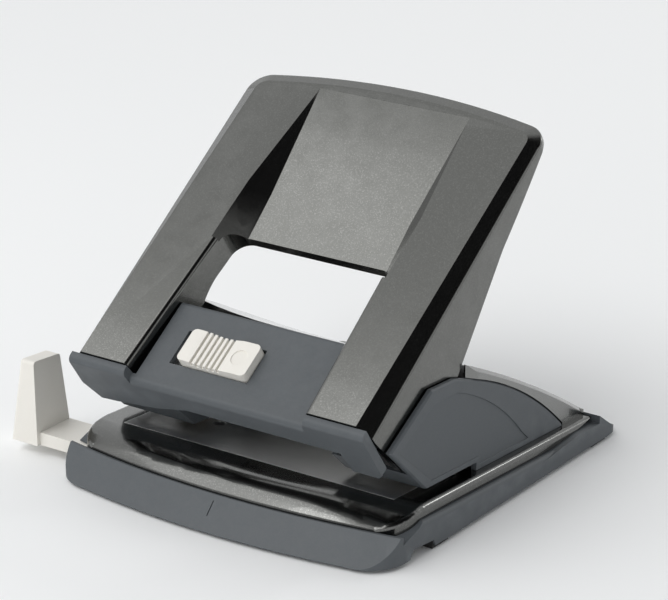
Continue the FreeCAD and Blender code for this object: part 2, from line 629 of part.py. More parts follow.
def makeSpring(side):
    # coil drawn as a run of short straight lengths, so that it stays light
    name = "return_spring_" + sideName(side)
    item = document.addObject("Part::Feature", name)
    item.Label = name
    wire = worth("springWire")
    radius = worth("springDiameter / 2")
    low = worth("throat + frameThick + springWire / 2")
    rise = worth("punchTop - punchHeadThick - washerThick - throat - frameThick - springWire")
    steps = int(worth("springTurns")) * stepsPerTurn
    points = []
    for step in range(steps + 1):
        angle = 2 * math.pi * step / stepsPerTurn
        points.append(Vector(radius * math.cos(angle), radius * math.sin(angle),
                             low + rise * step / steps))
    heading = points[1] - points[0]
    section = Part.makePolygon([
        points[0] + Vector(math.cos(turn), 0, math.sin(turn)) * (wire / 2)
        for turn in [math.pi / 3 * corner for corner in range(7)]])
    coil = Part.Wire(Part.makePolygon(points)).makePipeShell([section], True, True, 1)
    item.Shape = coil
    tilt = Rotation(Vector(-1, 0, 0), worth("deckTilt"))
    corner = Vector(worth("baseAcross + %s * holePitch / 2" % side), worth("baseForward"),
                    worth("deckHeight"))
    item.Placement = Placement(corner + tilt.multVec(Vector(0, worth("punchAlong"), 0)), tilt)
    parts[name] = item


def makeHingePins():
    for side in ("-1", "1"):
        body = newBody("hinge_pin_" + sideName(side), "deck")
        rod = newSketch(body, "hingeRod", "YZ_Plane", side + " * (holePitch / 2 + pinProud / 2)")
        circle(rod, "hingeAlong", "hingeHeight", "hingePin")
        pad(body, rod, "frameWidth + pinProud", symmetric=True)
        keep(body)
    clips = newBody("hinge_clips", "deck")
    for side in ("-1", "1"):
        ring = newSketch(clips, "clipRing" + sideName(side), "YZ_Plane",
                         side + " * (holePitch / 2 + frameWidth / 2 + clipThick / 2)")
        circle(ring, "hingeAlong", "hingeHeight", "clipDiameter")
        circle(ring, "hingeAlong", "hingeHeight", "hingePin")
        pad(clips, ring, "clipThick", symmetric=True)
    gap = newSketch(clips, "clipGap", "YZ_Plane")
    rectangle(gap, "hingeAlong - 1.4", "hingeHeight - clipDiameter", "hingeAlong + 1.4",
              "hingeHeight")
    pocket(clips, gap, "baseWidth", symmetric=True)
    keep(clips)



# ---------------------------------------------------------------- press levers and handle

# roller centre in the handle frame
rollerAlong = ("(hingeForward * cos(restAngle + deckTilt)"
               " + rollerRise * sin(restAngle + deckTilt))")
rollerUp = ("(rollerRise * cos(restAngle + deckTilt)"
            " - hingeForward * sin(restAngle + deckTilt))")
floorTop = "(shellTop - floorDrop)"
floorUnder = "(shellTop - floorDrop - floorThick)"


def makePressLever(side):
    body = newBody("press_lever_" + sideName(side), "handle")
    profile = newSketch(body, "leverProfile", "YZ_Plane", side + " * holePitch / 2")
    outline(profile, [
        ("-leverEye", "0", "leverEye"), ("leverEye * 0.25", "-leverEye * 0.968"),
        (rollerAlong + " + leverEye * 0.1", rollerUp + " - leverEye * 0.995", "leverEye"),
        (rollerAlong + " + leverEye * 0.96", rollerUp + " + leverEye * 0.28"),
        ("floorLength - shellFront - 1", floorUnder),
        ("-shellFront + 4", floorUnder), ("-shellFront + 4", floorUnder + " - 3"),
    ])
    pad(body, profile, "leverWidth", symmetric=True)
    inside = newSketch(body, "leverInside", "YZ_Plane", side + " * holePitch / 2")
    rectangle(inside, "-20", "-20", "40", floorUnder + " - leverThick")
    pocket(body, inside, "leverGap", symmetric=True)
    bores = newSketch(body, "leverBores", "YZ_Plane")
    circle(bores, "0", "0", "hingePin + 2 * hingeFit")
    circle(bores, rollerAlong, rollerUp, "rollerDiameter")
    pocket(body, bores, "baseWidth", symmetric=True)
    holes = newSketch(body, "leverScrewHoles", "XY_Plane")
    for shift in ("-0.5", "0.5"):
        circle(holes, side + " * holePitch / 2", "screwMiddle + %s * screwSpacing" % shift,
               "screwDiameter + screwFit")
    pocket(body, holes, floorUnder + " + 1", backwards=True)
    keep(body)


def makePressRollers():
    body = newBody("press_rollers", "handle")
    for side in ("-1", "1"):
        rod = newSketch(body, "rollerRod" + sideName(side), "YZ_Plane", side + " * holePitch / 2")
        circle(rod, rollerAlong, rollerUp, "rollerDiameter")
        pad(body, rod, "leverWidth", symmetric=True)
    keep(body)


def makeUnderframe():
    body = newBody("handle_underframe", "handle")
    # hat section: lock panel in the middle, floors under the rails
    hat = newSketch(body, "underframeHat", "XZ_Plane", "shellFront + apronFront - apronThick")
    edge = "(shellWidth / 2 - shellWall - 0.3)"
    inner = "(railInnerFront - hatFit)"
    inside = "(railInnerFront - hatFit - hatWall)"
    panel = "(shellTop - panelDrop)"
    outline(hat, [
        ("-" + edge, floorUnder), ("-" + inside, floorUnder),
        ("-" + inside, panel + " - panelThick"), (inside, panel + " - panelThick"),
        (inside, floorUnder), (edge, floorUnder), (edge, floorTop), (inner, floorTop),
        (inner, panel), ("-" + inner, panel), ("-" + inner, floorTop), ("-" + edge, floorTop),
    ])
    pad(body, hat, "panelLength - apronThick + apronFront", backwards=True)
    for side in ("-1", "1"):
        longer = newSketch(body, "underframeFloor" + sideName(side), "XY_Plane", floorUnder)
        a = side + " * " + inner
        b = side + " * " + edge
        left, right = (b, a) if side == "-1" else (a, b)
        rectangle(longer, left, "0", right, "floorLength - shellFront")
        pad(body, longer, "floorThick")
    # front apron
    apron = newSketch(body, "underframeApron", "XZ_Plane", "shellFront + apronFront")
    wide = "(shellWidth / 2 - 0.6)"
    low = "(shellTop - apronDepth)"
    middle = "(shellTop - apronMiddle)"
    outline(apron, [
        ("-" + wide, low + " + 8"), ("-" + wide + " + 4.5", low + " + 1.7"),
        ("-apronRiseLeft - 15", low + " + 2.2"), ("-apronRiseLeft", low + " + 4.3"),
        ("-apronStepLeft", middle), ("apronStepRight - 0.6", middle),
        ("apronStepRight + 0.6", low), (wide + " - 1.4", low), (wide, low + " + 1.6"),
        (wide, "shellTop - 0.8"),
        ("railInnerFront + 0.2", "shellTop - 0.8"), ("railInnerFront - 0.4", panel),
        ("-railInnerFront + 0.4", panel), ("-railInnerFront - 0.2", "shellTop - 0.8"),
        ("-" + wide, "shellTop - 0.8"),
    ])
    pad(body, apron, "apronThick", backwards=True)
    # slot and well for the lock knob
    slot = newSketch(body, "underframeSlot", "XY_Plane", panel)
    knobBottom = "(knobFront - shellFront)"
    rectangle(slot, "knobLeft - lockTravel - slotFit", knobBottom + " - slotFit",
              "knobLeft + knobLength + slotFit", knobBottom + " + knobWidth + slotFit")
    pocket(body, slot, "panelThick + 0.1")
    holes = newSketch(body, "underframeScrewHoles", "XY_Plane", floorUnder)
    for side in ("-1", "1"):
        for shift in ("-0.5", "0.5"):
            circle(holes, side + " * holePitch / 2", "screwMiddle + %s * screwSpacing" % shift,
                   "screwDiameter + screwFit")
    pocket(body, holes, "floorThick + 1", backwards=True)
    # notch that lets the catch plate and the bolt through the left hat wall
    notch = newSketch(body, "underframeNotch", "XY_Plane", floorUnder + " - 1")
    rectangle(notch, "-" + inner, "boltForward - 5.5", "-" + inside + " + 0.5", "boltForward + 6")
    pocket(body, notch, "5.2", backwards=True)
    front = worth("-shellFront - apronFront")
    topEdge = worth(panel)
    soften(body, "Fillet", "2", lambda middle, edge: along(edge, acrossAxis)
           and abs(middle.y - front) < 0.01 and middle.z > topEdge - 0.1)
    rear = worth("-shellFront + panelLength")
    soften(body, "Fillet", "panelRound", lambda middle, edge: along(edge, acrossAxis)
           and abs(middle.y - rear) < 0.01 and middle.z > topEdge - 0.1)
    keep(body)


# arched top edge of the handle: one large arc that meets both corner arcs smoothly
archRadius = "((shellWidth / 2 - shellCorner)^2 / (2 * shellArch) + shellArch / 2)"
archCentre = "(shellLength - shellFront + shellArch - %s)" % archRadius
archSpan = "(%s - shellCorner)" % archRadius
cornerAcross = "(shellWidth / 2 - shellCorner)"
cornerAlong = "(%s + sqrt(%s^2 - %s^2))" % (archCentre, archSpan, cornerAcross)


def shellOutline(sketch):
    meetAcross = "(%s * %s / %s)" % (archRadius, cornerAcross, archSpan)
    meetAlong = "(%s + %s * (%s - %s) / %s)" % (
        archCentre, archRadius, cornerAlong, archCentre, archSpan)
    half = "shellWidth / 2"
    return outline(sketch, [
        ("-" + half, "-shellFront"), (half, "-shellFront"), (half, cornerAlong, "shellCorner"),
        (meetAcross, meetAlong, archRadius), ("-" + meetAcross, meetAlong, "shellCorner"),
        ("-" + half, cornerAlong),
    ])


def recessSection(body, name, along, half, floorHalf, depth, lift="1"):
    # cross-section of the recess at one place along the handle
    sketch = newSketch(body, name, "XZ_Plane", "-(%s)" % along)
    slope = "(%s - %s) / (%s)" % (half, floorHalf, depth)
    wide = "(%s + %s * %s)" % (half, slope, lift)
    return outline(sketch, [
        ("-" + floorHalf, "shellTop - (%s)" % depth), (floorHalf, "shellTop - (%s)" % depth),
        (wide, "shellTop + " + lift), ("-" + wide, "shellTop + " + lift),
    ])


def makeHandleShell():
    body = newBody("handle_shell", "handle")
    plan = newSketch(body, "shellPlan", "XY_Plane", "shellTop")
    shellOutline(plan)
    pad(body, plan, "shellTop + 12", backwards=True)
    # lower edge of the side walls, deep at the hinge and shallow at the top
    lower = newSketch(body, "shellLowerEdge", "YZ_Plane")
    outline(lower, [
        ("-shellFront - 1", "shellTop + 4"),
        ("-shellFront + wallToe", "wallToeRise"), ("-wallToe * 0.286", "-wallDrop"),
        ("wallHeel", "-wallDrop", "-wallHeelRound"), ("wallRise", "-wallRiseDrop"),
        ("wallWaist", "wallWaistUp", "wallSweep"),
        ("shellLength - shellFront - 6", "shellTop - wallTop"),
        ("shellLength + 10", "shellTop - wallTop + 0.4"), ("shellLength + 10", "-shellTop - 6"),
        ("-shellFront - 1", "-shellTop - 6"),
    ])
    pocket(body, lower, "shellWidth * 2", symmetric=True)
    bevelAt = worth("shellTop")
    soften(body, "Chamfer", "bevelAcross", lambda middle, edge: abs(middle.z - bevelAt) < 0.01
           and middle.y > worth("-shellFront") + 0.1, "bevelDown", flip=True)
    # recess between the rails: it widens quickly at first, then runs parallel to the window
    wide = "recessHalf"
    knee = "(%s - (%s - railInnerTop) * 0.06)" % (wide, wide)
    kneeDepth = "(recessDepth * (recessTop - recessKnee) / (recessTop - recessEdge))"
    start = recessSection(body, "recessStart", "recessEdge - shellFront - 0.01", wide,
                          "recessCorner", "recessDepth")
    bend = recessSection(body, "recessBend", "recessKnee - shellFront", knee,
                         "recessCorner", kneeDepth)
    end = recessSection(body, "recessFinish", "recessTop - shellFront", "(railInnerTop)",
                        "(railInnerTop - 0.02)", "0.05", lift="0.3")
    loft(body, "SubtractiveLoft", [start, bend, end])
    window = newSketch(body, "shellWindow", "XY_Plane", "shellTop")
    far = "railInnerBack"
    outline(window, [
        ("-railInnerFront", "-shellFront - 1"), ("railInnerFront", "-shellFront - 1"),
        (far + " + 0.25", "recessEdge - shellFront - windowCorner", "windowCorner * 1.02"),
        (far + " - windowCorner", "recessEdge - shellFront"),
        ("-" + far + " + windowCorner", "recessEdge - shellFront", "windowCorner * 1.02"),
        ("-" + far + " - 0.25", "recessEdge - shellFront - windowCorner"),
    ])
    pocket(body, window)
    brow = recessSection(body, "recessBrow", "recessEdge - shellFront", wide, "recessCorner",
                         "recessDepth")
    pocket(body, brow, "windowCorner + 1", backwards=True)
    # rounded inner edges of the rails beside the window
    soften(body, "Fillet", "railRound", lambda middle, edge: straight(edge)
           and abs(middle.z - bevelAt) < 0.01 and edge.Length > 30
           and worth("railInnerBack") < abs(middle.x) < worth("railInnerFront"))
    # hollow of each rail
    for side in ("-1", "1"):
        hollow = newSketch(body, "railHollow" + sideName(side), "XY_Plane", "shellTop - shellWall")
        outer = side + " * (shellWidth / 2 - shellWall)"
        near = side + " * (railInnerFront + shellWall)"
        topInner = side + " * (railInnerTop + shellWall + 0.4)"
        topIn = side + " * (shellWidth / 2 - shellCorner)"
        base = "-shellFront - 1"
        top = "shellLength - shellFront - shellWall"
        path = [(near, base), (outer, base), (outer, top + " - shellCorner + shellWall"),
                (topIn, top), (topInner, top), (near, "recessKnee - shellFront")]
        outline(hollow, path if side == "1" else path[::-1])
        pocket(body, hollow)
    middle = newSketch(body, "middleHollow", "YZ_Plane")
    lip = "(recessEdge - shellFront + shellWall)"
    outline(middle, [
        (lip, "-30"), ("shellLength - shellFront - shellWall", "-30"),
        ("shellLength - shellFront - shellWall", "shellTop - shellWall"),
        ("recessTop - shellFront", "shellTop - shellWall - 0.3"),
        (lip, "shellTop - recessDepth - shellWall"),
    ])
    pocket(body, middle, "2 * (railInnerTop + shellWall) + 3", symmetric=True)
    # inner walls of the rails and rim of the recess
    inner = newSketch(body, "innerLowerEdge", "YZ_Plane")
    rim = "(shellTop - recessDepth - recessLip)"
    outline(inner, [
        ("-shellFront - 2", "shellTop - floorDrop + 0.2"),
        ("floorLength - shellFront + 0.5", "shellTop - floorDrop + 0.2"),
        ("floorLength - shellFront + 0.5", "shellTop - 13.2"),
        ("34 - shellFront", "shellTop - 13.2", "-22"), ("46 - shellFront", rim),
        ("recessEdge - shellFront + 8", rim), ("recessEdge - shellFront + 8", "-30"),
        ("-shellFront - 2", "-30"),
    ])
    pocket(body, inner, "2 * (railInnerFront + shellWall) + 0.6", symmetric=True)
    # screw bosses
    for side in ("-1", "1"):
        for place in ("-0.5", "0.5"):
            name = "shellBoss%s%s" % (sideName(side), "Front" if place == "-0.5" else "Back")
            boss = newSketch(body, name, "XY_Plane", floorTop)
            middleLine = "screwMiddle + %s * screwSpacing" % place
            circle(boss, side + " * holePitch / 2", middleLine, "bossDiameter")
            circle(boss, side + " * holePitch / 2", middleLine, "screwDiameter")
            pad(body, boss, "floorDrop - shellWall + 0.2")
    keep(body)


def makeHandleScrews():
    body = newBody("handle_screws", "handle")
    for label, start, length, width in (
            ("Shank", floorUnder + " - leverThick", "leverThick + floorThick + screwBite", "screwDiameter"),
            ("Head", floorUnder + " - leverThick - screwHeadThick", "screwHeadThick", "screwHead")):
        step = newSketch(body, "handleScrew" + label, "XY_Plane", start)
        for side in ("-1", "1"):
            for shift in ("-0.5", "0.5"):
                circle(step, side + " * holePitch / 2",
                       "screwMiddle + %s * screwSpacing" % shift, width)
        pad(body, step, length)
    keep(body)


# ---------------------------------------------------------------- lock

def makeLock():
    knob = newBody("lock_slider", "handle")
    bottom = "(knobFront - shellFront)"
    panel = "(shellTop - panelDrop)"
    left = "knobLeft"
    right = "(knobLeft + knobLength)"
    top = "(knobFront - shellFront + knobWidth)"
    plan = newSketch(knob, "knobPlan", "XY_Plane", panel + " - panelThick")
    outline(plan, [
        (left, bottom), (right, bottom), (right, top), (right + " - 7", top, "-40"),
        (left + " + 7", top), (left, top),
    ])
    pad(knob, plan, "panelThick + knobRise")
    soften(knob, "Fillet", "knobCorner", lambda middle, edge: along(edge, upAxis)
           and (middle.x < worth("knobLeft") + 0.1 or middle.x > worth(right) - 0.1))
    saddle = newSketch(knob, "knobSaddle", "XZ_Plane", "20")
    outline(saddle, [
        (left + " + 3.5", panel + " + knobRise", "70"), (right + " - 5.5", panel + " + knobRise"),
        (right + " - 5.5", panel + " + knobRise + 3"), (left + " + 3.5", panel + " + knobRise + 3"),
    ])
    pocket(knob, saddle, "40")
    groove = newSketch(knob, "knobGroove", "XZ_Plane", "20")
    rectangle(groove, left + " + 5", panel + " + knobRise - ribDepth", left + " + 5 + ribGap",
              panel + " + knobRise + 3")
    first = pocket(knob, groove, "40")
    repeat = knob.newObject("PartDesign::LinearPattern", "knobGrooves")
    repeat.Originals = [first]
    repeat.Direction = (groove, ["H_Axis"])
    repeat.setExpression("Length", linked("ribPitch * (ribCount - 1)"))
    repeat.setExpression("Occurrences", linked("ribCount"))
    knob.Tip = repeat
    document.recompute()
    dimple = newSketch(knob, "knobDimple", "XY_Plane", panel + " + knobRise + 1")
    circle(dimple, right + " - 5", bottom + " + knobWidth / 2", "dimple")
    pocket(knob, dimple, "1.5")
    keep(knob)
    # carrier plate under the panel with the bolt that reaches the catch
    bolt = newBody("lock_bolt", "handle")
    plate = newSketch(bolt, "boltCarrier", "XY_Plane", panel + " - panelThick - 1.6")
    rectangle(plate, left + " + 1", "-6.6", right + " + 1.5", "8.4")
    pad(bolt, plate, "1.5")
    stem = newSketch(bolt, "boltStem", "XY_Plane", "boltHeight - boltDiameter / 2")
    rectangle(stem, left + " + 1", "boltForward - boltDiameter / 2", left + " + 5",
              "boltForward + boltDiameter / 2")
    pad(bolt, stem, panel + " - panelThick - 1 - boltHeight + boltDiameter / 2")
    rod = newSketch(bolt, "boltRod", "YZ_Plane", left + " + 3")
    circle(rod, "boltForward", "boltHeight", "boltDiameter")
    pad(bolt, rod, left + " + 3 + boltTip", backwards=True)
    keep(bolt)
    # catch on the inner ear of the left frame: hole where the bolt stands with the handle down
    catch = newBody("lock_catch", "deck")
    sheetPlane = newSketch(catch, "catchSheet", "YZ_Plane",
                           "-earInner")
    boltY = "(hingeAlong + boltForward * cos(shutAngle) - boltHeight * sin(shutAngle))"
    boltZ = "(hingeHeight + boltForward * sin(shutAngle) + boltHeight * cos(shutAngle))"
    near = "(hingeAlong + catchFoot - 9)"
    far = "(hingeAlong + catchFoot)"
    foot = "(hingeHeight + 0.2)"
    outline(sheetPlane, [
        (near, foot), (far, foot), (far, foot + " + catchRise"),
        (boltY + " + boltDiameter", boltZ + " + boltDiameter / 3"),
        (boltY + " + boltDiameter * 0.7", boltZ + " + boltDiameter"),
        (boltY + " - boltDiameter * 0.7", boltZ + " + boltDiameter"),
        (boltY + " - boltDiameter", boltZ), (boltY + " - boltDiameter", boltZ + " - boltDiameter"),
        (near, foot + " + catchRise * 0.7"),
    ])
    pad(catch, sheetPlane, "catchThick")
    eye = newSketch(catch, "catchEye", "YZ_Plane")
    circle(eye, boltY, boltZ, "boltDiameter + catchHole")
    pocket(catch, eye, "baseWidth", symmetric=True)
    rivets = newSketch(catch, "catchRivets", "YZ_Plane",
                       "-earInner + catchThick")
    for step in ("0", "rivetPitch"):
        circle(rivets, "hingeAlong + rivetForward + " + step, "hingeHeight + rivetRise",
               "rivetDiameter")
    pad(catch, rivets, "0.6")
    keep(catch)


# ---------------------------------------------------------------- housings and covers

def makeSideHousing(side):
    body = newBody("side_housing_" + sideName(side), "deck")
    inner = side + " * (cheekOuter - cheekThick)"
    cheek = newSketch(body, "cheekPanel", "YZ_Plane", inner)
    outline(cheek, [
        ("cheekLow", "cheekGap"), ("stopDepth", "cheekGap"), ("stopDepth", "0"), ("cheekEnd", "0"),
        ("cheekEnd", "cheekEdge", "cheekArc"), ("crestBack", "crestHeight"),
        ("crestFront", "crestHeight"), ("noseForward", "noseHeight"),
    ])
    pad(body, cheek, "cheekThick", backwards=(side == "-1"))
    face = newSketch(body, "housingFace", "YZ_Plane", side + " * housingInner")
    outline(face, [
        ("cheekLow", "cheekGap"), ("cheekLow + faceThick", "cheekGap"),
        ("cheekLow + faceThick - 0.759 * facePlate", "cheekGap + 0.651 * facePlate"),
        ("cheekLow - 0.759 * facePlate", "cheekGap + 0.651 * facePlate"),
    ])
    pad(body, face, "cheekOuter - cheekThick - housingInner + 0.2", backwards=(side == "-1"))
    end = newSketch(body, "housingEnd", "YZ_Plane", side + " * housingInner")
    outline(end, [
        ("cheekLow + 0.5", "cheekGap"), ("coverFront - 0.4", "cheekGap"),
        ("coverFront - 0.4", "housingRoof"), ("cheekLow - 4", "housingRoof"),
        ("cheekLow - 0.759 * facePlate + 0.5", "cheekGap + 0.651 * facePlate"),
    ])
    pad(body, end, "1.6", backwards=(side == "-1"))
    outer = worth("cheekOuter")
    soften(body, "Chamfer", "0.6", lambda middle, edge: abs(abs(middle.x) - outer) < 0.01
           and middle.z > worth("cheekGap") + 0.5)
    crease = newSketch(body, "cheekCrease", "YZ_Plane", side + " * cheekOuter")
    outline(crease, [
        ("cheekLow + 3.4", "cheekGap + 1.6"), ("stopDepth + 1.6", "cheekGap + 1.6"),
        ("stopDepth + 1.6", "1.8"), ("cheekEnd - 20", "1.8"),
        ("cheekEnd - 24", "cheekGap + 2.4", "cheekArc * 0.6"),
        ("crestBack + 1.2", "crestHeight - creaseInset"),
        ("crestFront + 1.2", "crestHeight - creaseInset - 0.4"),
        ("noseForward + creaseInset", "noseHeight - 1"),
    ])
    pocket(body, crease, "creaseDepth", backwards=(side == "-1"))
    keep(body)


# large arc of the cover's back, from its front top corner to its rear edge
arcBack = "(coverEnd - coverNose)"
arcDrop = "(coverHeight - coverEdge)"
arcChord = "sqrt(%s^2 + %s^2)" % (arcBack, arcDrop)
arcDepth = "(sqrt(coverArc^2 - %s^2 / 4) / %s)" % (arcChord, arcChord)
arcCentreAlong = "((coverEnd + coverNose) / 2 - %s * %s)" % (arcDrop, arcDepth)
arcCentreUp = "((coverEdge + coverHeight) / 2 - %s * %s)" % (arcBack, arcDepth)


def coverTop(along):
    # height of that arc over the deck
    return "(%s + sqrt(coverArc^2 - (%s - %s)^2))" % (arcCentreUp, along, arcCentreAlong)


def coverSection(body, name, x, rise):
    sketch = newSketch(body, name, "YZ_Plane", x)
    return outline(sketch, [
        ("coverNose - coverLean", "0"), ("coverEnd", "0"),
        ("coverEnd", "coverEdge + 0.2 * " + rise, "coverArc"),
        ("coverNose", "coverHeight + " + rise),
        ("coverNose - coverLean", "crestHeight + coverFit"),
    ])


def hollowSection(body, name, x, rise):
    sketch = newSketch(body, name, "YZ_Plane", x)
    front = "(coverFront + coverWall)"
    back = "(coverEnd - 2.6 * coverWall)"
    return outline(sketch, [
        (front, "-1"), (back, "-1"),
        (back, "%s + 0.2 * %s - coverWall" % (coverTop(back), rise), "coverArc"),
        (front, "%s + %s - coverWall" % (coverTop(front), rise)),
    ])


def makeRearCover():
    body = newBody("rear_cover", "deck")
    loft(body, "AdditiveLoft", [coverSection(body, "coverLeft", "-cheekOuter", "0"),
                                coverSection(body, "coverMiddle", "0", "coverCrown"),
                                coverSection(body, "coverRight", "cheekOuter", "0")], ruled=False)
    # slanted shoulders: pockets that narrow at 45 degrees
    for side in ("-1", "1"):
        shoulder = newSketch(body, "coverShoulder" + sideName(side), "YZ_Plane",
                             side + " * cheekOuter")
        front = "(coverNose - coverLean)"
        outline(shoulder, [
            (front, coverTop(front) + " - coverSoft", "-coverArc"),
            ("coverEnd", coverTop("coverEnd") + " - coverSoft"),
            ("coverEnd", coverTop(front) + " + 1"), (front, coverTop(front) + " + 1"),
        ])
        step = pocket(body, shoulder, "coverSoft", backwards=(side == "-1"))
        step.TaperAngle = -45
        document.recompute()
    inside = "(cheekOuter - cheekThick - coverFit - coverWall)"
    loft(body, "SubtractiveLoft", [
        hollowSection(body, "coverHollowLeft", "-" + inside, "0"),
        hollowSection(body, "coverHollowMiddle", "0", "coverCrown"),
        hollowSection(body, "coverHollowRight", inside, "0")], ruled=False)
    # only the outer skins above the cheeks reach further forward than the stop
    skin = "(cheekOuter - cheekThick)"
    mouth = newSketch(body, "coverMouth", "XY_Plane", "-2")
    rectangle(mouth, "-" + skin, "coverNose - coverLean - 1", skin, "coverFront")
    pocket(body, mouth, "2 * crestHeight", backwards=True)
    for side in ("-1", "1"):
        # seat of the cheek in the side of the cover
        seat = newSketch(body, "coverSeat" + sideName(side), "YZ_Plane",
                         side + " * (cheekOuter - cheekThick - coverFit)")
        outline(seat, [
            ("coverNose - coverLean - 1", "-1"), ("cheekEnd + coverFit", "-1"),
            ("cheekEnd + coverFit", "cheekEdge", "cheekArc"),
            ("crestBack", "crestHeight + coverFit"),
            ("coverNose - coverLean - 1", "crestHeight + coverFit"),
        ])
        pocket(body, seat, "2 * cheekThick", backwards=(side == "1"))
        # slot for the handle wall and opening for the punch frame
        slot = newSketch(body, "coverSlot" + sideName(side), "XY_Plane", "-2")
        a = side + " * (shellWidth / 2 - shellWall - slotPlay)"
        b = side + " * " + skin
        left, right = (b, a) if side == "-1" else (a, b)
        rectangle(slot, left, "coverFront - 2", right, "slotEnd")
        pocket(body, slot, "2 * crestHeight", backwards=True)
        niche = newSketch(body, "coverNiche" + sideName(side), "XY_Plane", "-2")
        a = side + " * (housingInner - coverFit)"
        left, right = (b, a) if side == "-1" else (a, b)
        rectangle(niche, left, "coverFront - 2", right, "plateEnd + 0.4")
        pocket(body, niche, "earTop + 3", backwards=True)
    for side in ("-1", "1"):
        boss = newSketch(body, "coverBoss" + sideName(side), "XY_Plane")
        circle(boss, side + " * coverScrewAcross", "coverScrewAlong", "bossDiameter")
        circle(boss, side + " * coverScrewAcross", "coverScrewAlong", "screwDiameter")
        pad(body, boss, "2 * screwBite")
    keep(body)


def makeChipTray():
    body = newBody("chip_tray", "base")
    profile = newSketch(body, "trayProfile", "YZ_Plane")
    front = "(bayFront + trayFit)"
    rear = "(trayHinge - 2.4)"
    roof = "(deckHeight - deckThick - shelfThick - 0.9)"
    outline(profile, [
        (front, "footHeight"), (rear, "footHeight"),
        (rear, roof + " - %s * tan(deckTilt)" % rear),
        (front, roof + " - %s * tan(deckTilt)" % front),
    ])
    pad(body, profile, "baseWidth - 2 * railWidth - 2 * trayFit", symmetric=True)
    inside = newSketch(body, "trayInside", "XY_Plane", "footHeight + trayWall")
    half = "(baseWidth / 2 - railWidth - trayFit - trayWall)"
    rectangle(inside, "-" + half, front + " + trayWall", half, rear + " - trayWall")
    pocket(body, inside, "baseTop", backwards=True)
    # knuckles on the hinge pin
    for side in ("-1", "1"):
        name = "trayKnuckle" + ("Left" if side == "-1" else "Right")
        place = side + " * (lugFace - knuckleInset)"
        knuckle = newSketch(body, name, "YZ_Plane", place)
        circle(knuckle, "trayHinge", "trayHingeHeight", "trayKnuckle")
        pad(body, knuckle, "knuckleWidth", backwards=(side == "1"))
        arm = newSketch(body, name + "Arm", "YZ_Plane", place)
        rectangle(arm, rear + " - 1", "footHeight + 0.4", "trayHinge", "footHeight + 2")
        pad(body, arm, "knuckleWidth", backwards=(side == "1"))
    bore = newSketch(body, "trayPinBore", "YZ_Plane")
    circle(bore, "trayHinge", "trayHingeHeight", "trayPin + screwFit * 2")
    pocket(body, bore, "baseWidth", symmetric=True)
    keep(body)
    rod = newBody("tray_hinge_pin", "base")
    section = newSketch(rod, "trayPinRod", "YZ_Plane")
    circle(section, "trayHinge", "trayHingeHeight", "trayPin")
    pad(rod, section, "2 * lugFace", symmetric=True)
    keep(rod)


def makePaperGuide():
    body = newBody("paper_guide", "base")
    bar = newSketch(body, "guideBar", "XY_Plane", "guideLow")
    rectangle(bar, "-guideFace - 1", "guideFront", "guideReach", "guideFront + guideWidth")
    pad(body, bar, "guideThick")
    stop = newSketch(body, "guideStop", "YZ_Plane", "-guideFace")
    outline(stop, [
        ("guideFront - 1.4", "guideLow"), ("guideFront + guideWidth + 0.6", "guideLow"),
        ("guideFront + guideWidth - 3.6", "stopHeight"),
        ("guideFront - 1.9", "stopHeight + 1"),
    ])
    pad(body, stop, "stopThick", backwards=True)
    lean = newSketch(body, "guideStopLean", "XZ_Plane")
    outline(lean, [
        ("-guideFace - stopThick", "guideLow"), ("-guideFace - stopThickTop", "stopHeight + 1"),
        ("-guideFace - stopThick - 2", "stopHeight + 1"), ("-guideFace - stopThick - 2", "guideLow"),
    ])
    pocket(body, lean, "baseLength", symmetric=True)
    soften(body, "Fillet", "stopRound", lambda middle, edge: middle.z > worth("guideLow + guideThick + 3")
           and middle.x < worth("-guideFace - 1"))
    marks = newSketch(body, "guideNotches", "XY_Plane", "guideLow + guideThick")
    circle(marks, "guideReach - 8", "guideFront + guideWidth", "notchSize")
    first = pocket(body, marks, "guideThick + 1")
    repeat = body.newObject("PartDesign::LinearPattern", "guideNotchRow")
    repeat.Originals = [first]
    repeat.Direction = (marks, ["H_Axis"])
    repeat.Reversed = True
    repeat.setExpression("Length", linked("notchPitch * (notchCount - 1)"))
    repeat.setExpression("Occurrences", linked("notchCount"))
    body.Tip = repeat
    document.recompute()
    keep(body)


def makeRubberFeet():
    body = newBody("rubber_feet", "base")
    feet = newSketch(body, "feetPlan", "XY_Plane")
    for x, y in footPlaces():
        rectangle(feet, x + " - footWidth / 2", y + " - footLength / 2",
                  x + " + footWidth / 2", y + " + footLength / 2")
    pad(body, feet, "footHeight + footRecess")
    keep(body)


def makeFrameScrews():
    body = newBody("frame_screws", "deck")
    under = "-deckThick - shelfThick"
    for label, start, length, width in (
            ("Head", under + " - screwHeadThick", "screwHeadThick", "screwHead"),
            ("Shank", under, "deckThick + shelfThick + throat + frameThick", "screwDiameter")):
        step = newSketch(body, "frameScrew" + label, "XY_Plane", start)
        for side in ("-1", "1"):
            for shift in ("-frameScrewAcross", "frameScrewAcross"):
                circle(step, side + " * (holePitch / 2 + %s)" % shift, "frameScrewAlong", width)
        pad(body, step, length)
    keep(body)
    cover = newBody("cover_screws", "deck")
    for label, start, length, width in (
            ("Head", under + " - screwHeadThick", "screwHeadThick", "screwHead"),
            ("Shank", under, "deckThick + shelfThick + screwBite", "screwDiameter")):
        step = newSketch(cover, "coverScrew" + label, "XY_Plane", start)
        for side in ("-1", "1"):
            circle(step, side + " * coverScrewAcross", "coverScrewAlong", width)
        pad(cover, step, length)
    keep(cover)


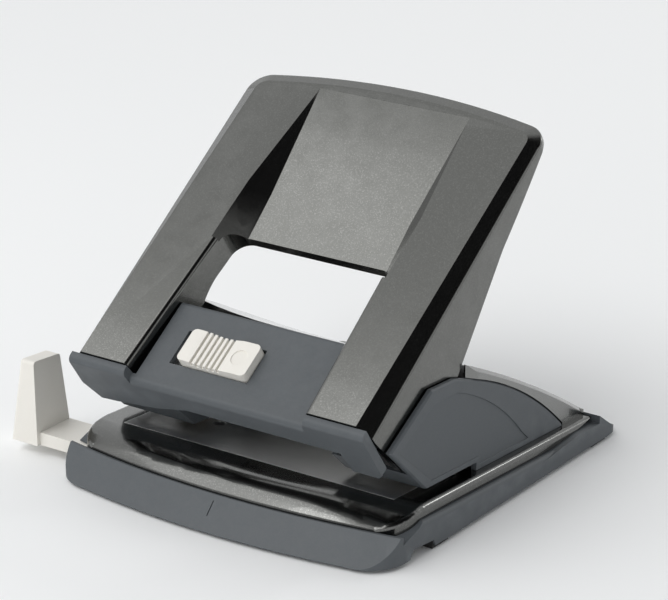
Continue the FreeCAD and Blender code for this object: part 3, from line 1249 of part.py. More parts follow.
makeBaseHousing()
makePaperTable()
makeDiePlate()
for side in ("-1", "1"):
    makePunchFrame(side)
    makePunch(side)
    makeSpring(side)
makeHingePins()
for side in ("-1", "1"):
    makePressLever(side)
    makeSideHousing(side)
makePressRollers()
makeUnderframe()
makeHandleShell()
makeHandleScrews()
makeLock()
makeRearCover()
makeChipTray()
makePaperGuide()
makeRubberFeet()
makeFrameScrews()


def checkAndExport():
    document.recompute()
    for item in document.Objects:
        if "Invalid" in item.State or "Error" in item.State:
            raise RuntimeError("%s did not build: %s" % (item.Name, item.State))
    os.makedirs("parts", exist_ok=True)
    for name, body in parts.items():
        shape = body.Shape
        if shape.isNull() or not shape.isValid():
            raise RuntimeError("%s has no valid shape" % name)
        shape.exportStep("parts/%s.step" % name)
        box = shape.optimalBoundingBox()
        print("%s: %d solid(s), %.1f mm3, x %.1f..%.1f, y %.1f..%.1f, z %.1f..%.1f" % (
            name, len(shape.Solids), shape.Volume, box.XMin, box.XMax, box.YMin, box.YMax,
            box.ZMin, box.ZMax))


checkAndExport()
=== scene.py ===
import json
import math

import bmesh
import bpy
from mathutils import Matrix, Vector

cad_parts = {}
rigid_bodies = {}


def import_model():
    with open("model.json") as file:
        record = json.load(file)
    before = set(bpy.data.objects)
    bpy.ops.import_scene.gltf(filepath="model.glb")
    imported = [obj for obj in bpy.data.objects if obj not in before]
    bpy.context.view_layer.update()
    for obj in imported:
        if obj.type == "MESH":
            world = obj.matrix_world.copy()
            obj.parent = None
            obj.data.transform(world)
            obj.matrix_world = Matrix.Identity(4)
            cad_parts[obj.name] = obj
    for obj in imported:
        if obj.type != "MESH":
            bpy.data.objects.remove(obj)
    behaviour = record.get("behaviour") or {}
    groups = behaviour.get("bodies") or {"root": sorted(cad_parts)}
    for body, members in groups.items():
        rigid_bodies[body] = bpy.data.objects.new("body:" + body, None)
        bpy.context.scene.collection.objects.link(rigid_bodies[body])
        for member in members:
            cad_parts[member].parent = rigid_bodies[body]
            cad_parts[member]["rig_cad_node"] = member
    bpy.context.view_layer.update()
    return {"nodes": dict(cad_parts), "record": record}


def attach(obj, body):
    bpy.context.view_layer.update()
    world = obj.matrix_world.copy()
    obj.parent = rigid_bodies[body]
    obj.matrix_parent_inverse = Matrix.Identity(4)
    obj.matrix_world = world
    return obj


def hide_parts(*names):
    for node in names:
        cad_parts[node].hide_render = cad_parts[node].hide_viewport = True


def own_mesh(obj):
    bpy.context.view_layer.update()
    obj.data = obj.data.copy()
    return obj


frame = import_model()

# the frame is in metres; the shape dictionaries below are in millimetres and degrees
mm = 0.001
nodes = frame["nodes"]
bodyOf = {}
for bodyName, members in frame["record"]["behaviour"]["bodies"].items():
    for member in members:
        bodyOf[member] = bodyName


def clearSelection():
    active = bpy.context.view_layer.objects.active
    if active is not None and active.mode != "OBJECT":
        bpy.ops.object.mode_set(mode="OBJECT")
    bpy.ops.object.select_all(action="DESELECT")


def choose(piece):
    clearSelection()
    piece.select_set(True)
    bpy.context.view_layer.objects.active = piece


def applyModifiers(piece):
    choose(piece)
    for modifier in list(piece.modifiers):
        bpy.ops.object.modifier_apply(modifier=modifier.name)


# the handle's frame, the height of the edge between rim and wall over the hinge, the tilts that
# tell rim and wall apart, the corner at the very front, and how far the rim deepens
shellSide = {"top": (0.0, -0.565, 0.825), "along": (0.0, 0.825, 0.565),
             "hinge": (12.35, -37.35, 30.89), "height": 23.1, "reach": 0.35,
             "rimTilt": (8.0, 45.0), "wallTilt": 60.0,
             "cornerLow": 20.5, "cornerLong": 0.6, "cornerOut": 50.0,
             "front": -12.7, "back": 85.0, "deepen": 3.6, "round": 0.6, "segments": 5}


def easeShellSide(piece):
    # the sloping rim is deeper toward the front, and rolls over into the side wall
    low, high = shellSide["rimTilt"]
    up = Vector(shellSide["top"])
    along = Vector(shellSide["along"])
    hinge = Vector(shellSide["hinge"]) * mm
    choose(piece)
    bpy.ops.object.mode_set(mode="EDIT")
    bpy.ops.mesh.select_mode(type="EDGE")
    bpy.ops.mesh.select_all(action="DESELECT")
    shape = bmesh.from_edit_mesh(piece.data)
    corners = set()
    for edge in shape.edges:
        if len(edge.link_faces) != 2:
            continue
        heights = [(corner.co - hinge).dot(up) / mm for corner in edge.verts]
        tilts = sorted(math.degrees(face.normal.angle(up)) for face in edge.link_faces)
        if (max(abs(height - shellSide["height"]) for height in heights) < shellSide["reach"]
                and low < tilts[0] < high and tilts[1] > shellSide["wallTilt"]):
            edge.select_set(True)
            corners.update(edge.verts)
    for corner in shape.verts:
        offset = (corner.co - hinge) / mm
        if (shellSide["cornerLow"] < offset.dot(up) < shellSide["height"] - shellSide["reach"]
                and offset.dot(along) < shellSide["front"] + shellSide["cornerLong"]
                and abs(offset.x) > shellSide["cornerOut"]):
            corners.add(corner)
    span = shellSide["back"] - shellSide["front"]
    for corner in corners:
        share = (shellSide["back"] - (corner.co - hinge).dot(along) / mm) / span
        corner.co -= up * shellSide["deepen"] * mm * min(max(share, 0.0), 1.0)
    bmesh.update_edit_mesh(piece.data)
    if corners:
        bpy.ops.mesh.bevel(offset=shellSide["round"] * mm, segments=shellSide["segments"],
                           clamp_overlap=True)
    bpy.ops.object.mode_set(mode="OBJECT")
    print("shell rim corners rolled over:", len(corners))


# where the nose stops, how its corners are trimmed, the dip, and the cuts that let it bend smoothly
coverDip = {"middle": 12.35, "front": -12.8, "noseHalf": 55.0, "noseSide": 0.96, "noseFront": 0.28,
            "half": 50.0, "drop": 2.4, "steep": 4, "lowest": 20.0, "fadeFrom": 10.0, "fadeTo": 45.0,
            "cutsAcross": [-48, -42, -35, -27, -18, -9, 0.01, 9, 18, 27, 35, 42, 48],
            "cutsAlong": [-6, 1, 8, 14, 20, 26, 32, 38, 44]}


def easeCover(piece):
    # the cover stops behind the handle's side wall, and dips a little in the middle
    choose(piece)
    bpy.ops.object.mode_set(mode="EDIT")
    bpy.ops.mesh.select_all(action="SELECT")
    bpy.ops.mesh.bisect(plane_co=(0.0, coverDip["front"] * mm, 0.0), plane_no=(0.0, 1.0, 0.0),
                        clear_inner=True, use_fill=True)
    for side in (1.0, -1.0):
        edge = (coverDip["middle"] + side * coverDip["noseHalf"], coverDip["front"], 0.0)
        bpy.ops.mesh.select_all(action="SELECT")
        bpy.ops.mesh.bisect(plane_co=[value * mm for value in edge],
                            plane_no=(side * coverDip["noseSide"], -coverDip["noseFront"], 0.0),
                            clear_outer=True, use_fill=True)
    cuts = [(offset, 0.0, (1.0, 0.0, 0.0)) for offset in coverDip["cutsAcross"]]
    cuts += [(0.0, offset, (0.0, 1.0, 0.0)) for offset in coverDip["cutsAlong"]]
    for across, along, facing in cuts:
        bpy.ops.mesh.select_all(action="SELECT")
        bpy.ops.mesh.bisect(plane_co=((coverDip["middle"] + across) * mm, along * mm, 0.0),
                            plane_no=facing)
    shape = bmesh.from_edit_mesh(piece.data)
    for corner in shape.verts:
        across = min(abs(corner.co.x / mm - coverDip["middle"]) / coverDip["half"], 1.0)
        fade = (coverDip["fadeTo"] - corner.co.y / mm) / (coverDip["fadeTo"] - coverDip["fadeFrom"])
        fade = min(max(fade, 0.0), 1.0)
        fade = fade * fade * (3.0 - 2.0 * fade)
        if corner.co.z > coverDip["lowest"] * mm:
            corner.co.z -= coverDip["drop"] * mm * (1.0 - across ** coverDip["steep"]) * fade
    bmesh.update_edit_mesh(piece.data)
    bpy.ops.object.mode_set(mode="OBJECT")
    print("cover trimmed and dipped, cuts:", len(cuts))


# the bow of the deck's front, the length of its slope, the swell with the factor that brings its
# curve to 1 at the top, and the height over which a corner belongs to the upper skin, which falls
# outward and rises along the slope
deckSwell = {"middle": 12.35, "radius": 270.0, "slope": 15.9, "swell": 1.7, "even": 6.75,
             "corner": 58.0, "fade": 28.0, "skinLow": 10.4, "skinFall": 0.02, "skinRise": 4.0,
             "skinReach": 0.75}


def easeDeck(piece):
    # raise the skin of the front slope, most at a third of its length, none at its ends
    shape = bmesh.new()
    shape.from_mesh(piece.data)
    front = min(corner.co.y for corner in shape.verts) / mm
    centre = front + deckSwell["radius"]
    count = 0
    for corner in shape.verts:
        x, y, z = corner.co / mm
        x -= deckSwell["middle"]
        along = (deckSwell["radius"] - math.hypot(x, y - centre)) / deckSwell["slope"]
        skin = deckSwell["skinLow"] - deckSwell["skinFall"] * abs(x)
        skin += deckSwell["skinRise"] * min(along, deckSwell["skinReach"])
        if not 0.0 < along < 1.0 or z < skin:
            continue
        fade = min(max((deckSwell["corner"] - abs(x)) / deckSwell["fade"], 0.0), 1.0)
        lift = deckSwell["swell"] * deckSwell["even"] * along * (1.0 - along) ** 2 * fade
        corner.co.z += lift * mm
        count += 1
    shape.to_mesh(piece.data)
    shape.free()
    print("deck corners swelled:", count)


# merging distance and flatness of a copy, and how its edges are rounded and shaded
copyLook = {"merge": 0.004, "flat": 0.6, "segments": 3, "angle": 18.0, "keepAngle": 40.0,
            "weight": 90}


def plainCopy(nodeName, pieceName):
    # a merged copy of one CAD node
    choose(nodes[nodeName])
    bpy.ops.object.duplicate()
    piece = bpy.context.view_layer.objects.active
    piece.name = pieceName
    del piece["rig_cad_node"]
    bpy.ops.object.parent_clear(type="CLEAR_KEEP_TRANSFORM")
    bpy.ops.object.mode_set(mode="EDIT")
    bpy.ops.mesh.select_all(action="SELECT")
    bpy.ops.mesh.remove_doubles(threshold=copyLook["merge"] * mm)
    bpy.ops.mesh.dissolve_limited(angle_limit=math.radians(copyLook["flat"]))
    bpy.ops.object.mode_set(mode="OBJECT")
    return piece


def standFor(piece, nodeName):
    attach(piece, bodyOf[nodeName])
    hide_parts(nodeName)


def softenCopy(nodeName, pieceName, width):
    # a copy of one CAD node with its sharp edges rounded over, standing for that node
    piece = plainCopy(nodeName, pieceName)
    if nodeName in easings:
        easings[nodeName](piece)
    bevel = piece.modifiers.new("edgeRound", "BEVEL")
    bevel.width = width * mm
    bevel.segments = copyLook["segments"]
    bevel.limit_method = "ANGLE"
    bevel.angle_limit = math.radians(copyLook["angle"])
    bevel.use_clamp_overlap = True
    bevel.miter_outer = "MITER_ARC"
    applyModifiers(piece)
    bpy.ops.object.shade_smooth_by_angle(angle=math.radians(copyLook["keepAngle"]))
    weighted = piece.modifiers.new("evenNormals", "WEIGHTED_NORMAL")
    weighted.keep_sharp = True
    weighted.weight = copyLook["weight"]
    applyModifiers(piece)
    standFor(piece, nodeName)


def newGroup(name, inputs, outputs):
    group = bpy.data.node_groups.new(name, "ShaderNodeTree")
    for label, value in inputs.items():
        socket = group.interface.new_socket(label, in_out="INPUT", socket_type="NodeSocketFloat")
        socket.default_value = value
    for label, kind in outputs.items():
        group.interface.new_socket(label, in_out="OUTPUT", socket_type="NodeSocket" + kind)
    entry = group.nodes.new("NodeGroupInput")
    leave = group.nodes.new("NodeGroupOutput")
    return group, entry, leave


def math2(tree, operation, first, second=None, third=None, clamp=False):
    node = tree.nodes.new("ShaderNodeMath")
    node.operation = operation
    node.use_clamp = clamp
    for index, value in enumerate((first, second, third)):
        if value is None:
            continue
        if isinstance(value, (int, float)):
            node.inputs[index].default_value = value
        else:
            tree.links.new(value, node.inputs[index])
    return node.outputs[0]


def noise(tree, vector, scale, detail=3.0, roughness=0.5):
    node = tree.nodes.new("ShaderNodeTexNoise")
    node.inputs["Detail"].default_value = detail
    node.inputs["Roughness"].default_value = roughness
    if isinstance(scale, (int, float)):
        node.inputs["Scale"].default_value = scale
    else:
        tree.links.new(scale, node.inputs["Scale"])
    tree.links.new(vector, node.inputs["Vector"])
    return node.outputs[0]


# how fine and coarse grain are mixed
grainMix = {"detail": 4.0, "roughness": 0.62, "coarseScale": 0.33, "coarseDetail": 2.0,
            "fineShare": 0.65, "coarseShare": 0.35, "toneDetail": 3.0}


def makeMouldGrain():
    # fine spark-eroded grain of moulded plastic, with slow unevenness in tone
    group, entry, leave = newGroup("mouldGrain", {"Scale": 2600.0, "Slow Scale": 45.0},
                                   {"Grain": "Float", "Tone": "Float"})
    place = group.nodes.new("ShaderNodeTexCoord").outputs["Object"]
    fine = noise(group, place, entry.outputs["Scale"], grainMix["detail"], grainMix["roughness"])
    coarseScale = math2(group, "MULTIPLY", entry.outputs["Scale"], grainMix["coarseScale"])
    coarse = noise(group, place, coarseScale, grainMix["coarseDetail"])
    coarse = math2(group, "MULTIPLY", coarse, grainMix["coarseShare"])
    both = math2(group, "MULTIPLY_ADD", fine, grainMix["fineShare"], coarse)
    slow = noise(group, place, entry.outputs["Slow Scale"], grainMix["toneDetail"])
    group.links.new(both, leave.inputs["Grain"])
    group.links.new(slow, leave.inputs["Tone"])
    return group


# soft clouds in the lacquer
cloudMix = {"scale": 1400.0, "detail": 3.0, "roughness": 0.6}


def makeMetalFlake():
    # tiny flakes in a lacquer: each cell has its own brightness
    group, entry, leave = newGroup("metalFlake", {"Scale": 4200.0, "Share": 0.35},
                                   {"Flake": "Float", "Cloud": "Float"})
    place = group.nodes.new("ShaderNodeTexCoord").outputs["Object"]
    cells = group.nodes.new("ShaderNodeTexVoronoi")
    group.links.new(place, cells.inputs["Vector"])
    group.links.new(entry.outputs["Scale"], cells.inputs["Scale"])
    split = group.nodes.new("ShaderNodeSeparateColor")
    group.links.new(cells.outputs["Color"], split.inputs["Color"])
    rest = math2(group, "SUBTRACT", 1.0, entry.outputs["Share"])
    bright = math2(group, "SUBTRACT", split.outputs[0], rest)
    bright = math2(group, "DIVIDE", bright, entry.outputs["Share"], clamp=True)
    cloud = noise(group, place, cloudMix["scale"], cloudMix["detail"], cloudMix["roughness"])
    group.links.new(bright, leave.inputs["Flake"])
    group.links.new(cloud, leave.inputs["Cloud"])
    return group


# pointiness of a flat face, how fast the rub grows above it, and its patches
rubMix = {"flat": 0.5, "gain": 7.0, "scale": 160.0, "detail": 4.0, "patchGain": 2.0,
          "patchStart": -0.6}


def makeEdgeRub():
    # paler where corners are handled, read from how convex the surface is
    group, entry, leave = newGroup("edgeRub", {"Amount": 0.5}, {"Rub": "Float"})
    shape = group.nodes.new("ShaderNodeNewGeometry")
    place = group.nodes.new("ShaderNodeTexCoord").outputs["Object"]
    lift = math2(group, "SUBTRACT", shape.outputs["Pointiness"], rubMix["flat"])
    lift = math2(group, "MULTIPLY", lift, rubMix["gain"], clamp=True)
    patches = noise(group, place, rubMix["scale"], rubMix["detail"])
    patches = math2(group, "MULTIPLY_ADD", patches, rubMix["patchGain"], rubMix["patchStart"],
                    clamp=True)
    rub = math2(group, "MULTIPLY", math2(group, "MULTIPLY", lift, patches), entry.outputs["Amount"])
    group.links.new(rub, leave.inputs["Rub"])
    return group


# how much a face has to look up, and how the film breaks into specks
dustMix = {"upGain": 1.4, "upStart": -0.5, "detail": 6.0, "roughness": 0.7, "speckGain": 2.4,
           "speckStart": -0.9}


def makeLightDust():
    # a thin film on faces that look up
    group, entry, leave = newGroup("lightDust", {"Amount": 0.3, "Scale": 260.0}, {"Dust": "Float"})
    shape = group.nodes.new("ShaderNodeNewGeometry")
    place = group.nodes.new("ShaderNodeTexCoord").outputs["Object"]
    split = group.nodes.new("ShaderNodeSeparateXYZ")
    group.links.new(shape.outputs["Normal"], split.inputs[0])
    upward = math2(group, "MULTIPLY_ADD", split.outputs[2], dustMix["upGain"], dustMix["upStart"],
                   clamp=True)
    specks = noise(group, place, entry.outputs["Scale"], dustMix["detail"], dustMix["roughness"])
    specks = math2(group, "MULTIPLY_ADD", specks, dustMix["speckGain"], dustMix["speckStart"],
                   clamp=True)
    dust = math2(group, "MULTIPLY", math2(group, "MULTIPLY", upward, specks),
                 entry.outputs["Amount"])
    group.links.new(dust, leave.inputs["Dust"])
    return group


mouldGrain = makeMouldGrain()
metalFlake = makeMetalFlake()
edgeRub = makeEdgeRub()
lightDust = makeLightDust()


def newMaterial(name):
    material = bpy.data.materials.new(name)
    material.use_nodes = True
    tree = material.node_tree
    shader = tree.nodes["Principled BSDF"]
    return material, tree, shader


def useGroup(tree, group, values):
    node = tree.nodes.new("ShaderNodeGroup")
    node.node_tree = group
    for label, value in values.items():
        node.inputs[label].default_value = value
    return node


def mixColor(tree, factor, first, second):
    node = tree.nodes.new("ShaderNodeMix")
    node.data_type = "RGBA"
    sockets = (node.inputs[0], node.inputs[6], node.inputs[7])
    for value, socket in zip((factor, first, second), sockets):
        if isinstance(value, (int, float)):
            socket.default_value = value
        elif isinstance(value, tuple):
            socket.default_value = (*value, 1.0)
        else:
            tree.links.new(value, socket)
    return node.outputs[2]


def addBump(tree, shader, height, strength, distance):
    bump = tree.nodes.new("ShaderNodeBump")
    bump.inputs["Strength"].default_value = strength
    bump.inputs["Distance"].default_value = distance * mm
    tree.links.new(height, bump.inputs["Height"])
    tree.links.new(bump.outputs["Normal"], shader.inputs["Normal"])


# what all the moulded plastics share
plasticMix = {"slowScale": 60.0, "dustScale": 300.0, "speckGain": 2.0, "speckStart": -0.5,
              "dustColor": (0.42, 0.41, 0.39), "dustRough": 0.4, "coatRough": 0.06,
              "bumpDepth": 0.05}


def mouldedPlastic(name, look):
    # grained or polished moulded plastic
    material, tree, shader = newMaterial(name)
    grain = useGroup(tree, mouldGrain, {"Scale": look["grainScale"],
                                        "Slow Scale": plasticMix["slowScale"]})
    rub = useGroup(tree, edgeRub, {"Amount": look["rub"]})
    dust = useGroup(tree, lightDust, {"Amount": look["dust"], "Scale": plasticMix["dustScale"]})
    color = mixColor(tree, grain.outputs["Tone"], look["deep"], look["color"])
    speck = math2(tree, "MULTIPLY_ADD", grain.outputs["Grain"], plasticMix["speckGain"],
                  plasticMix["speckStart"], clamp=True)
    color = mixColor(tree, math2(tree, "MULTIPLY", speck, look["speckle"]), color, look["pale"])
    color = mixColor(tree, rub.outputs["Rub"], color, look["pale"])
    color = mixColor(tree, dust.outputs["Dust"], color, plasticMix["dustColor"])
    tree.links.new(color, shader.inputs["Base Color"])
    rough = math2(tree, "MULTIPLY_ADD", grain.outputs["Tone"], look["roughSpan"], look["rough"])
    rough = math2(tree, "MULTIPLY_ADD", dust.outputs["Dust"], plasticMix["dustRough"], rough)
    tree.links.new(rough, shader.inputs["Roughness"])
    shader.inputs["Coat Weight"].default_value = look["coat"]
    shader.inputs["Coat Roughness"].default_value = plasticMix["coatRough"]
    addBump(tree, shader, grain.outputs["Grain"], look["bump"], plasticMix["bumpDepth"])
    return material


housingLook = {"color": (0.066, 0.075, 0.082), "deep": (0.057, 0.065, 0.072),
               "pale": (0.20, 0.215, 0.23), "grainScale": 2400.0, "speckle": 0.10, "rub": 0.35,
               "dust": 0.05, "rough": 0.46, "roughSpan": 0.10, "coat": 0.0, "bump": 0.32}
whiteLook = {"color": (0.78, 0.755, 0.70), "deep": (0.735, 0.71, 0.655),
             "pale": (0.86, 0.85, 0.81), "grainScale": 1800.0, "speckle": 0.12, "rub": 0.2,
             "dust": 0.04, "rough": 0.40, "roughSpan": 0.12, "coat": 0.0, "bump": 0.12}
innerLook = {"color": (0.036, 0.038, 0.042), "deep": (0.028, 0.030, 0.033),
             "pale": (0.09, 0.09, 0.09), "grainScale": 1500.0, "speckle": 0.08, "rub": 0.3,
             "dust": 0.12, "rough": 0.42, "roughSpan": 0.15, "coat": 0.0, "bump": 0.2}
footLook = {"color": (0.014, 0.014, 0.014), "deep": (0.010, 0.010, 0.010),
            "pale": (0.05, 0.05, 0.05), "grainScale": 1300.0, "speckle": 0.1, "rub": 0.3,
            "dust": 0.18, "rough": 0.74, "roughSpan": 0.12, "coat": 0.0, "bump": 0.5}


# what the three lacquers share
lacquerMix = {"dustScale": 300.0, "cloudGain": 1.6, "cloudStart": -0.3, "flakeRough": -0.08,
              "bump": 0.06, "bumpDepth": 0.02}


def flakedLacquer(name, look):
    # satin metallic lacquer of the handle, the paper table and the rear cover
    material, tree, shader = newMaterial(name)
    flake = useGroup(tree, metalFlake, {"Scale": look["flakeScale"], "Share": look["flakeShare"]})
    rub = useGroup(tree, edgeRub, {"Amount": look["rub"]})
    dust = useGroup(tree, lightDust, {"Amount": look["dust"], "Scale": lacquerMix["dustScale"]})
    cloud = math2(tree, "MULTIPLY_ADD", flake.outputs["Cloud"], lacquerMix["cloudGain"],
                  lacquerMix["cloudStart"], clamp=True)
    color = mixColor(tree, cloud, look["deep"], look["color"])
    color = mixColor(tree, math2(tree, "MULTIPLY", flake.outputs["Flake"], look["flakeMix"]),
                     color, look["bright"])
    color = mixColor(tree, rub.outputs["Rub"], color, look["bright"])
    color = mixColor(tree, dust.outputs["Dust"], color, look["dustColor"])
    tree.links.new(color, shader.inputs["Base Color"])
    rough = math2(tree, "MULTIPLY_ADD", flake.outputs["Flake"], lacquerMix["flakeRough"],
                  look["rough"])
    tree.links.new(rough, shader.inputs["Roughness"])
    shader.inputs["Metallic"].default_value = look["metal"]
    shader.inputs["Coat Weight"].default_value = look["coat"]
    shader.inputs["Coat Roughness"].default_value = look["coatRough"]
    addBump(tree, shader, flake.outputs["Cloud"], lacquerMix["bump"], lacquerMix["bumpDepth"])
    return material


shellLook = {"color": (0.138, 0.139, 0.131), "deep": (0.118, 0.119, 0.112),
             "bright": (0.27, 0.27, 0.26), "flakeScale": 3900.0, "flakeShare": 0.25,
             "flakeMix": 0.32, "rough": 0.20, "metal": 1.0, "coat": 0.30, "coatRough": 0.05,
             "rub": 0.25, "dust": 0.008, "dustColor": (0.45, 0.44, 0.42)}
tableLook = dict(shellLook, color=(0.112, 0.113, 0.108), deep=(0.095, 0.096, 0.092),
                 rough=0.20, coat=0.45, dust=0.02)
# the rear cover is the shell's lacquer with a lighter colour: a painted highlight that brightens
# the glossy dome
coverLookPaintedHighlight = dict(shellLook, color=(0.215, 0.216, 0.210), deep=(0.185, 0.186, 0.180),
                 rough=0.26, coat=0.8, dust=0.02)


# what the metals share
metalMix = {"lineDetail": 4.0, "lineRough": 0.6, "stainScale": 90.0, "stainDetail": 4.0,
            "stainGain": 1.6, "stainStart": -0.75, "bumpDepth": 0.02}


def turnedMetal(name, look):
    # pressed, turned or drawn metal with fine lines and slight staining
    material, tree, shader = newMaterial(name)
    place = tree.nodes.new("ShaderNodeTexCoord").outputs["Object"]
    stretch = tree.nodes.new("ShaderNodeMapping")
    stretch.inputs["Scale"].default_value = look["stretch"]
    tree.links.new(place, stretch.inputs["Vector"])
    lines = noise(tree, stretch.outputs[0], look["lineScale"], metalMix["lineDetail"],
                  metalMix["lineRough"])
    stain = noise(tree, place, metalMix["stainScale"], metalMix["stainDetail"])
    stain = math2(tree, "MULTIPLY_ADD", stain, metalMix["stainGain"], metalMix["stainStart"],
                  clamp=True)
    color = mixColor(tree, lines, look["deep"], look["color"])
    color = mixColor(tree, stain, color, look["stain"])
    tree.links.new(color, shader.inputs["Base Color"])
    tree.links.new(math2(tree, "MULTIPLY_ADD", lines, look["roughSpan"], look["rough"]),
                   shader.inputs["Roughness"])
    shader.inputs["Metallic"].default_value = 1.0
    addBump(tree, shader, lines, look["bump"], metalMix["bumpDepth"])
    return material


plateLook = {"color": (0.80, 0.80, 0.79), "deep": (0.70, 0.70, 0.70), "stain": (0.62, 0.615, 0.60),
             "stretch": (0.06, 1.0, 1.0), "lineScale": 2600.0, "rough": 0.25, "roughSpan": 0.10,
             "bump": 0.12}
toolLook = {"color": (0.56, 0.56, 0.57), "deep": (0.44, 0.44, 0.45), "stain": (0.34, 0.33, 0.32),
            "stretch": (1.0, 1.0, 0.08), "lineScale": 2200.0, "rough": 0.22, "roughSpan": 0.2,
            "bump": 0.1}
brassLook = {"color": (0.62, 0.44, 0.17), "deep": (0.50, 0.34, 0.12), "stain": (0.33, 0.22, 0.09),
             "stretch": (1.0, 1.0, 0.1), "lineScale": 1800.0, "rough": 0.28, "roughSpan": 0.2,
             "bump": 0.1}

finishes = {
    "housing_grey": mouldedPlastic("housingGrey", housingLook),
    "table_black": flakedLacquer("tableLacquer", tableLook),
    # the rear cover's lighter colour is a painted highlight on the dome
    "cover_black": flakedLacquer("coverLacquer", coverLookPaintedHighlight),
    "white_plastic": mouldedPlastic("warmWhite", whiteLook),
    "inner_plastic": mouldedPlastic("innerDark", innerLook),
    "foot_rubber": mouldedPlastic("footRubber", footLook),
    "shell_grey": flakedLacquer("shellLacquer", shellLook),
    "plate_steel": turnedMetal("plateSteel", plateLook),
    "tool_steel": turnedMetal("toolSteel", toolLook),
    "bush_brass": turnedMetal("bushBrass", brassLook),
}
slotOf = {item["node"]: item["material_slot"] for item in frame["record"]["subparts"]}
for nodeName, node in nodes.items():
    finish = finishes["cover_black" if nodeName == "rear_cover" else slotOf[nodeName]]
    for materialSlot in node.material_slots:
        materialSlot.material = finish
    if not node.material_slots:
        node.data.materials.append(finish)
print("finishes are on the frame")


# radius of the rounded edges of each piece that gets a copy
edgeWidths = {
    "handle_shell": 0.35, "handle_underframe": 0.5, "base_housing": 0.6, "paper_table": 0.5,
    "side_housing_left": 0.2, "side_housing_right": 0.2, "rear_cover": 0.8, "paper_guide": 0.5,
    "lock_slider": 0.3, "chip_tray": 0.25, "rubber_feet": 0.3, "die_plate": 0.12,
    "punch_frame_left": 0.12, "punch_frame_right": 0.12, "press_lever_left": 0.12,
    "press_lever_right": 0.12,
}
easings = {"handle_shell": easeShellSide, "rear_cover": easeCover, "paper_table": easeDeck}
for nodeName, width in edgeWidths.items():
    words = nodeName.split("_")
    pieceName = words[0] + "".join(word.capitalize() for word in words[1:]) + "Soft"
    softenCopy(nodeName, pieceName, width)
print("edges are rounded")

# each return spring is a smooth-shaded copy with its own mesh, standing for its CAD node; the
# punch's up direction and its travel
springPress = {"up": (0.0, 0.052336, 0.99863), "travel": 10.4, "keepAngle": 60.0}
for side in ("left", "right"):
    spring = plainCopy(f"return_spring_{side}", f"return_coil_{side}")
    bpy.ops.object.shade_smooth_by_angle(angle=math.radians(springPress["keepAngle"]))
    standFor(spring, f"return_spring_{side}")
    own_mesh(spring)


# a pale room and floor: directions are unit vectors, sizes in metres
stageLook = {"floor": (0.91, 0.915, 0.915), "floorSize": 6.0, "floorRough": 0.9,
             "floorSheen": 0.1, "front": (1.04, 1.05, 1.06), "back": (0.86, 0.87, 0.88),
             "frontSide": (-0.20, -0.95, -0.24), "frontEdge": 0.9, "frontMiddle": 0.5,
             "overhead": (0.015, 0.015, 0.016), "overheadSide": (0.36, -0.12, 0.925),
             "overheadStart": 0.745, "overheadEdge": 8.0}


def leanTo(tree, toward, side, edge, offset):
    # 0 to 1 across the room, rising toward one side
    lean = tree.nodes.new("ShaderNodeVectorMath")
    lean.operation = "DOT_PRODUCT"
    tree.links.new(toward, lean.inputs[0])
    lean.inputs[1].default_value = side
    return math2(tree, "MULTIPLY_ADD", lean.outputs["Value"], edge, offset, clamp=True)


def makeStage(look):
    clearSelection()
    bpy.ops.mesh.primitive_plane_add(size=look["floorSize"], location=(0, 0, 0))
    floor = bpy.context.view_layer.objects.active
    floor.name = "floor"
    material, tree, shader = newMaterial("paleFloor")
    shader.inputs["Base Color"].default_value = (*look["floor"], 1.0)
    shader.inputs["Roughness"].default_value = look["floorRough"]
    shader.inputs["Specular IOR Level"].default_value = look["floorSheen"]
    floor.data.materials.append(material)
    world = bpy.data.worlds.new("softRoom")
    bpy.context.scene.world = world
    world.use_nodes = True
    tree = world.node_tree
    back = tree.nodes["Background"]
    # a pale room, brighter toward the front, with a dark gap overhead between the lamps
    toward = tree.nodes.new("ShaderNodeTexCoord").outputs["Generated"]
    front = leanTo(tree, toward, look["frontSide"], look["frontEdge"], look["frontMiddle"])
    gap = leanTo(tree, toward, look["overheadSide"], look["overheadEdge"],
                 -look["overheadEdge"] * look["overheadStart"])
    color = mixColor(tree, front, look["back"], look["front"])
    color = mixColor(tree, gap, color, look["overhead"])
    tree.links.new(color, back.inputs["Color"])
    back.inputs["Strength"].default_value = 1.0


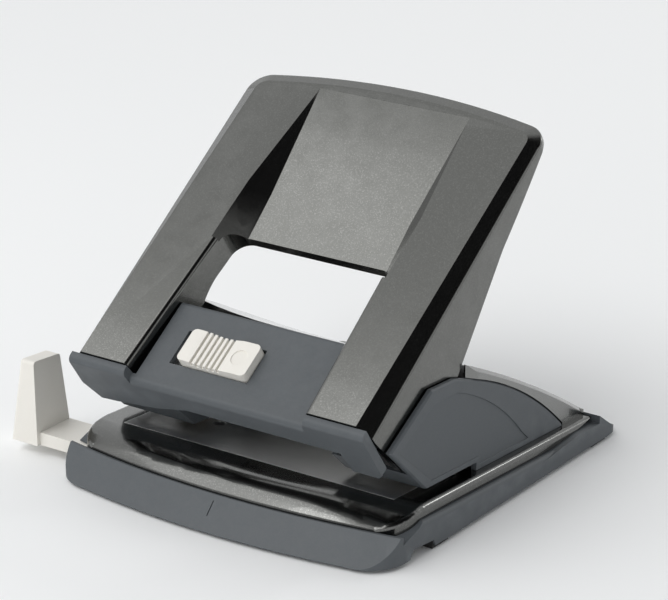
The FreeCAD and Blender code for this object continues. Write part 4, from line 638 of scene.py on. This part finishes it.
def addLamp(kind, name, place, aim, power):
    data = bpy.data.lights.new(name, kind)
    data.energy = power
    lamp = bpy.data.objects.new(name, data)
    bpy.context.scene.collection.objects.link(lamp)
    lamp.location = place
    lamp.rotation_euler = (Vector(aim) - Vector(place)).to_track_quat("-Z", "Y").to_euler()
    return lamp


def addBox(name, place, aim, size, power):
    lamp = addLamp("AREA", name, place, aim, power)
    lamp.data.shape = "RECTANGLE"
    lamp.data.size, lamp.data.size_y = size


# lamps: places, aims and sizes in metres, power in watts, and the fill's spread in degrees
boxLooks = {
    "leftBox": {"place": (-0.33, -0.312, 0.50), "aim": (-0.33, -0.312, 0.0),
                "size": (0.46, 0.44), "power": 0.75},
    "rearBox": {"place": (0.46, 0.98, 0.70), "aim": (0.07, 0.0, 0.01),
                "size": (0.22, 0.22), "power": 1.1},
}
fillLook = {"place": (-0.10, -0.62, 0.78), "aim": (0.0, 0.0, 0.0), "power": 0.80, "spread": 36.0}

makeStage(stageLook)
for name, look in boxLooks.items():
    addBox(name, look["place"], look["aim"], look["size"], look["power"])
fill = addLamp("SUN", "frontFill", fillLook["place"], fillLook["aim"], fillLook["power"])
fill.data.angle = math.radians(fillLook["spread"])

# degrees and millimetres
cameraLook = {"azimuth": 35.1, "elevation": 20.5, "distance": 885.0,
              "target": (20.4, -12.7, 57.8), "lens": 159.5, "sensor": 36.0, "near": 10.0}


def makeCamera(look):
    turn = math.radians(look["azimuth"])
    rise = math.radians(look["elevation"])
    away = Vector((math.sin(turn) * math.cos(rise), -math.cos(turn) * math.cos(rise),
                   math.sin(rise)))
    data = bpy.data.cameras.new("tableCamera")
    data.lens = look["lens"]
    data.sensor_width = look["sensor"]
    data.sensor_fit = "HORIZONTAL"
    data.clip_start = look["near"] * mm
    camera = bpy.data.objects.new("tableCamera", data)
    bpy.context.scene.collection.objects.link(camera)
    camera.location = Vector(look["target"]) * mm + away * look["distance"] * mm
    camera.rotation_euler = (-away).to_track_quat("-Z", "Y").to_euler()
    bpy.context.scene.camera = camera


makeCamera(cameraLook)
bpy.context.scene.view_settings.view_transform = "Standard"
print("stage, light and camera are set")
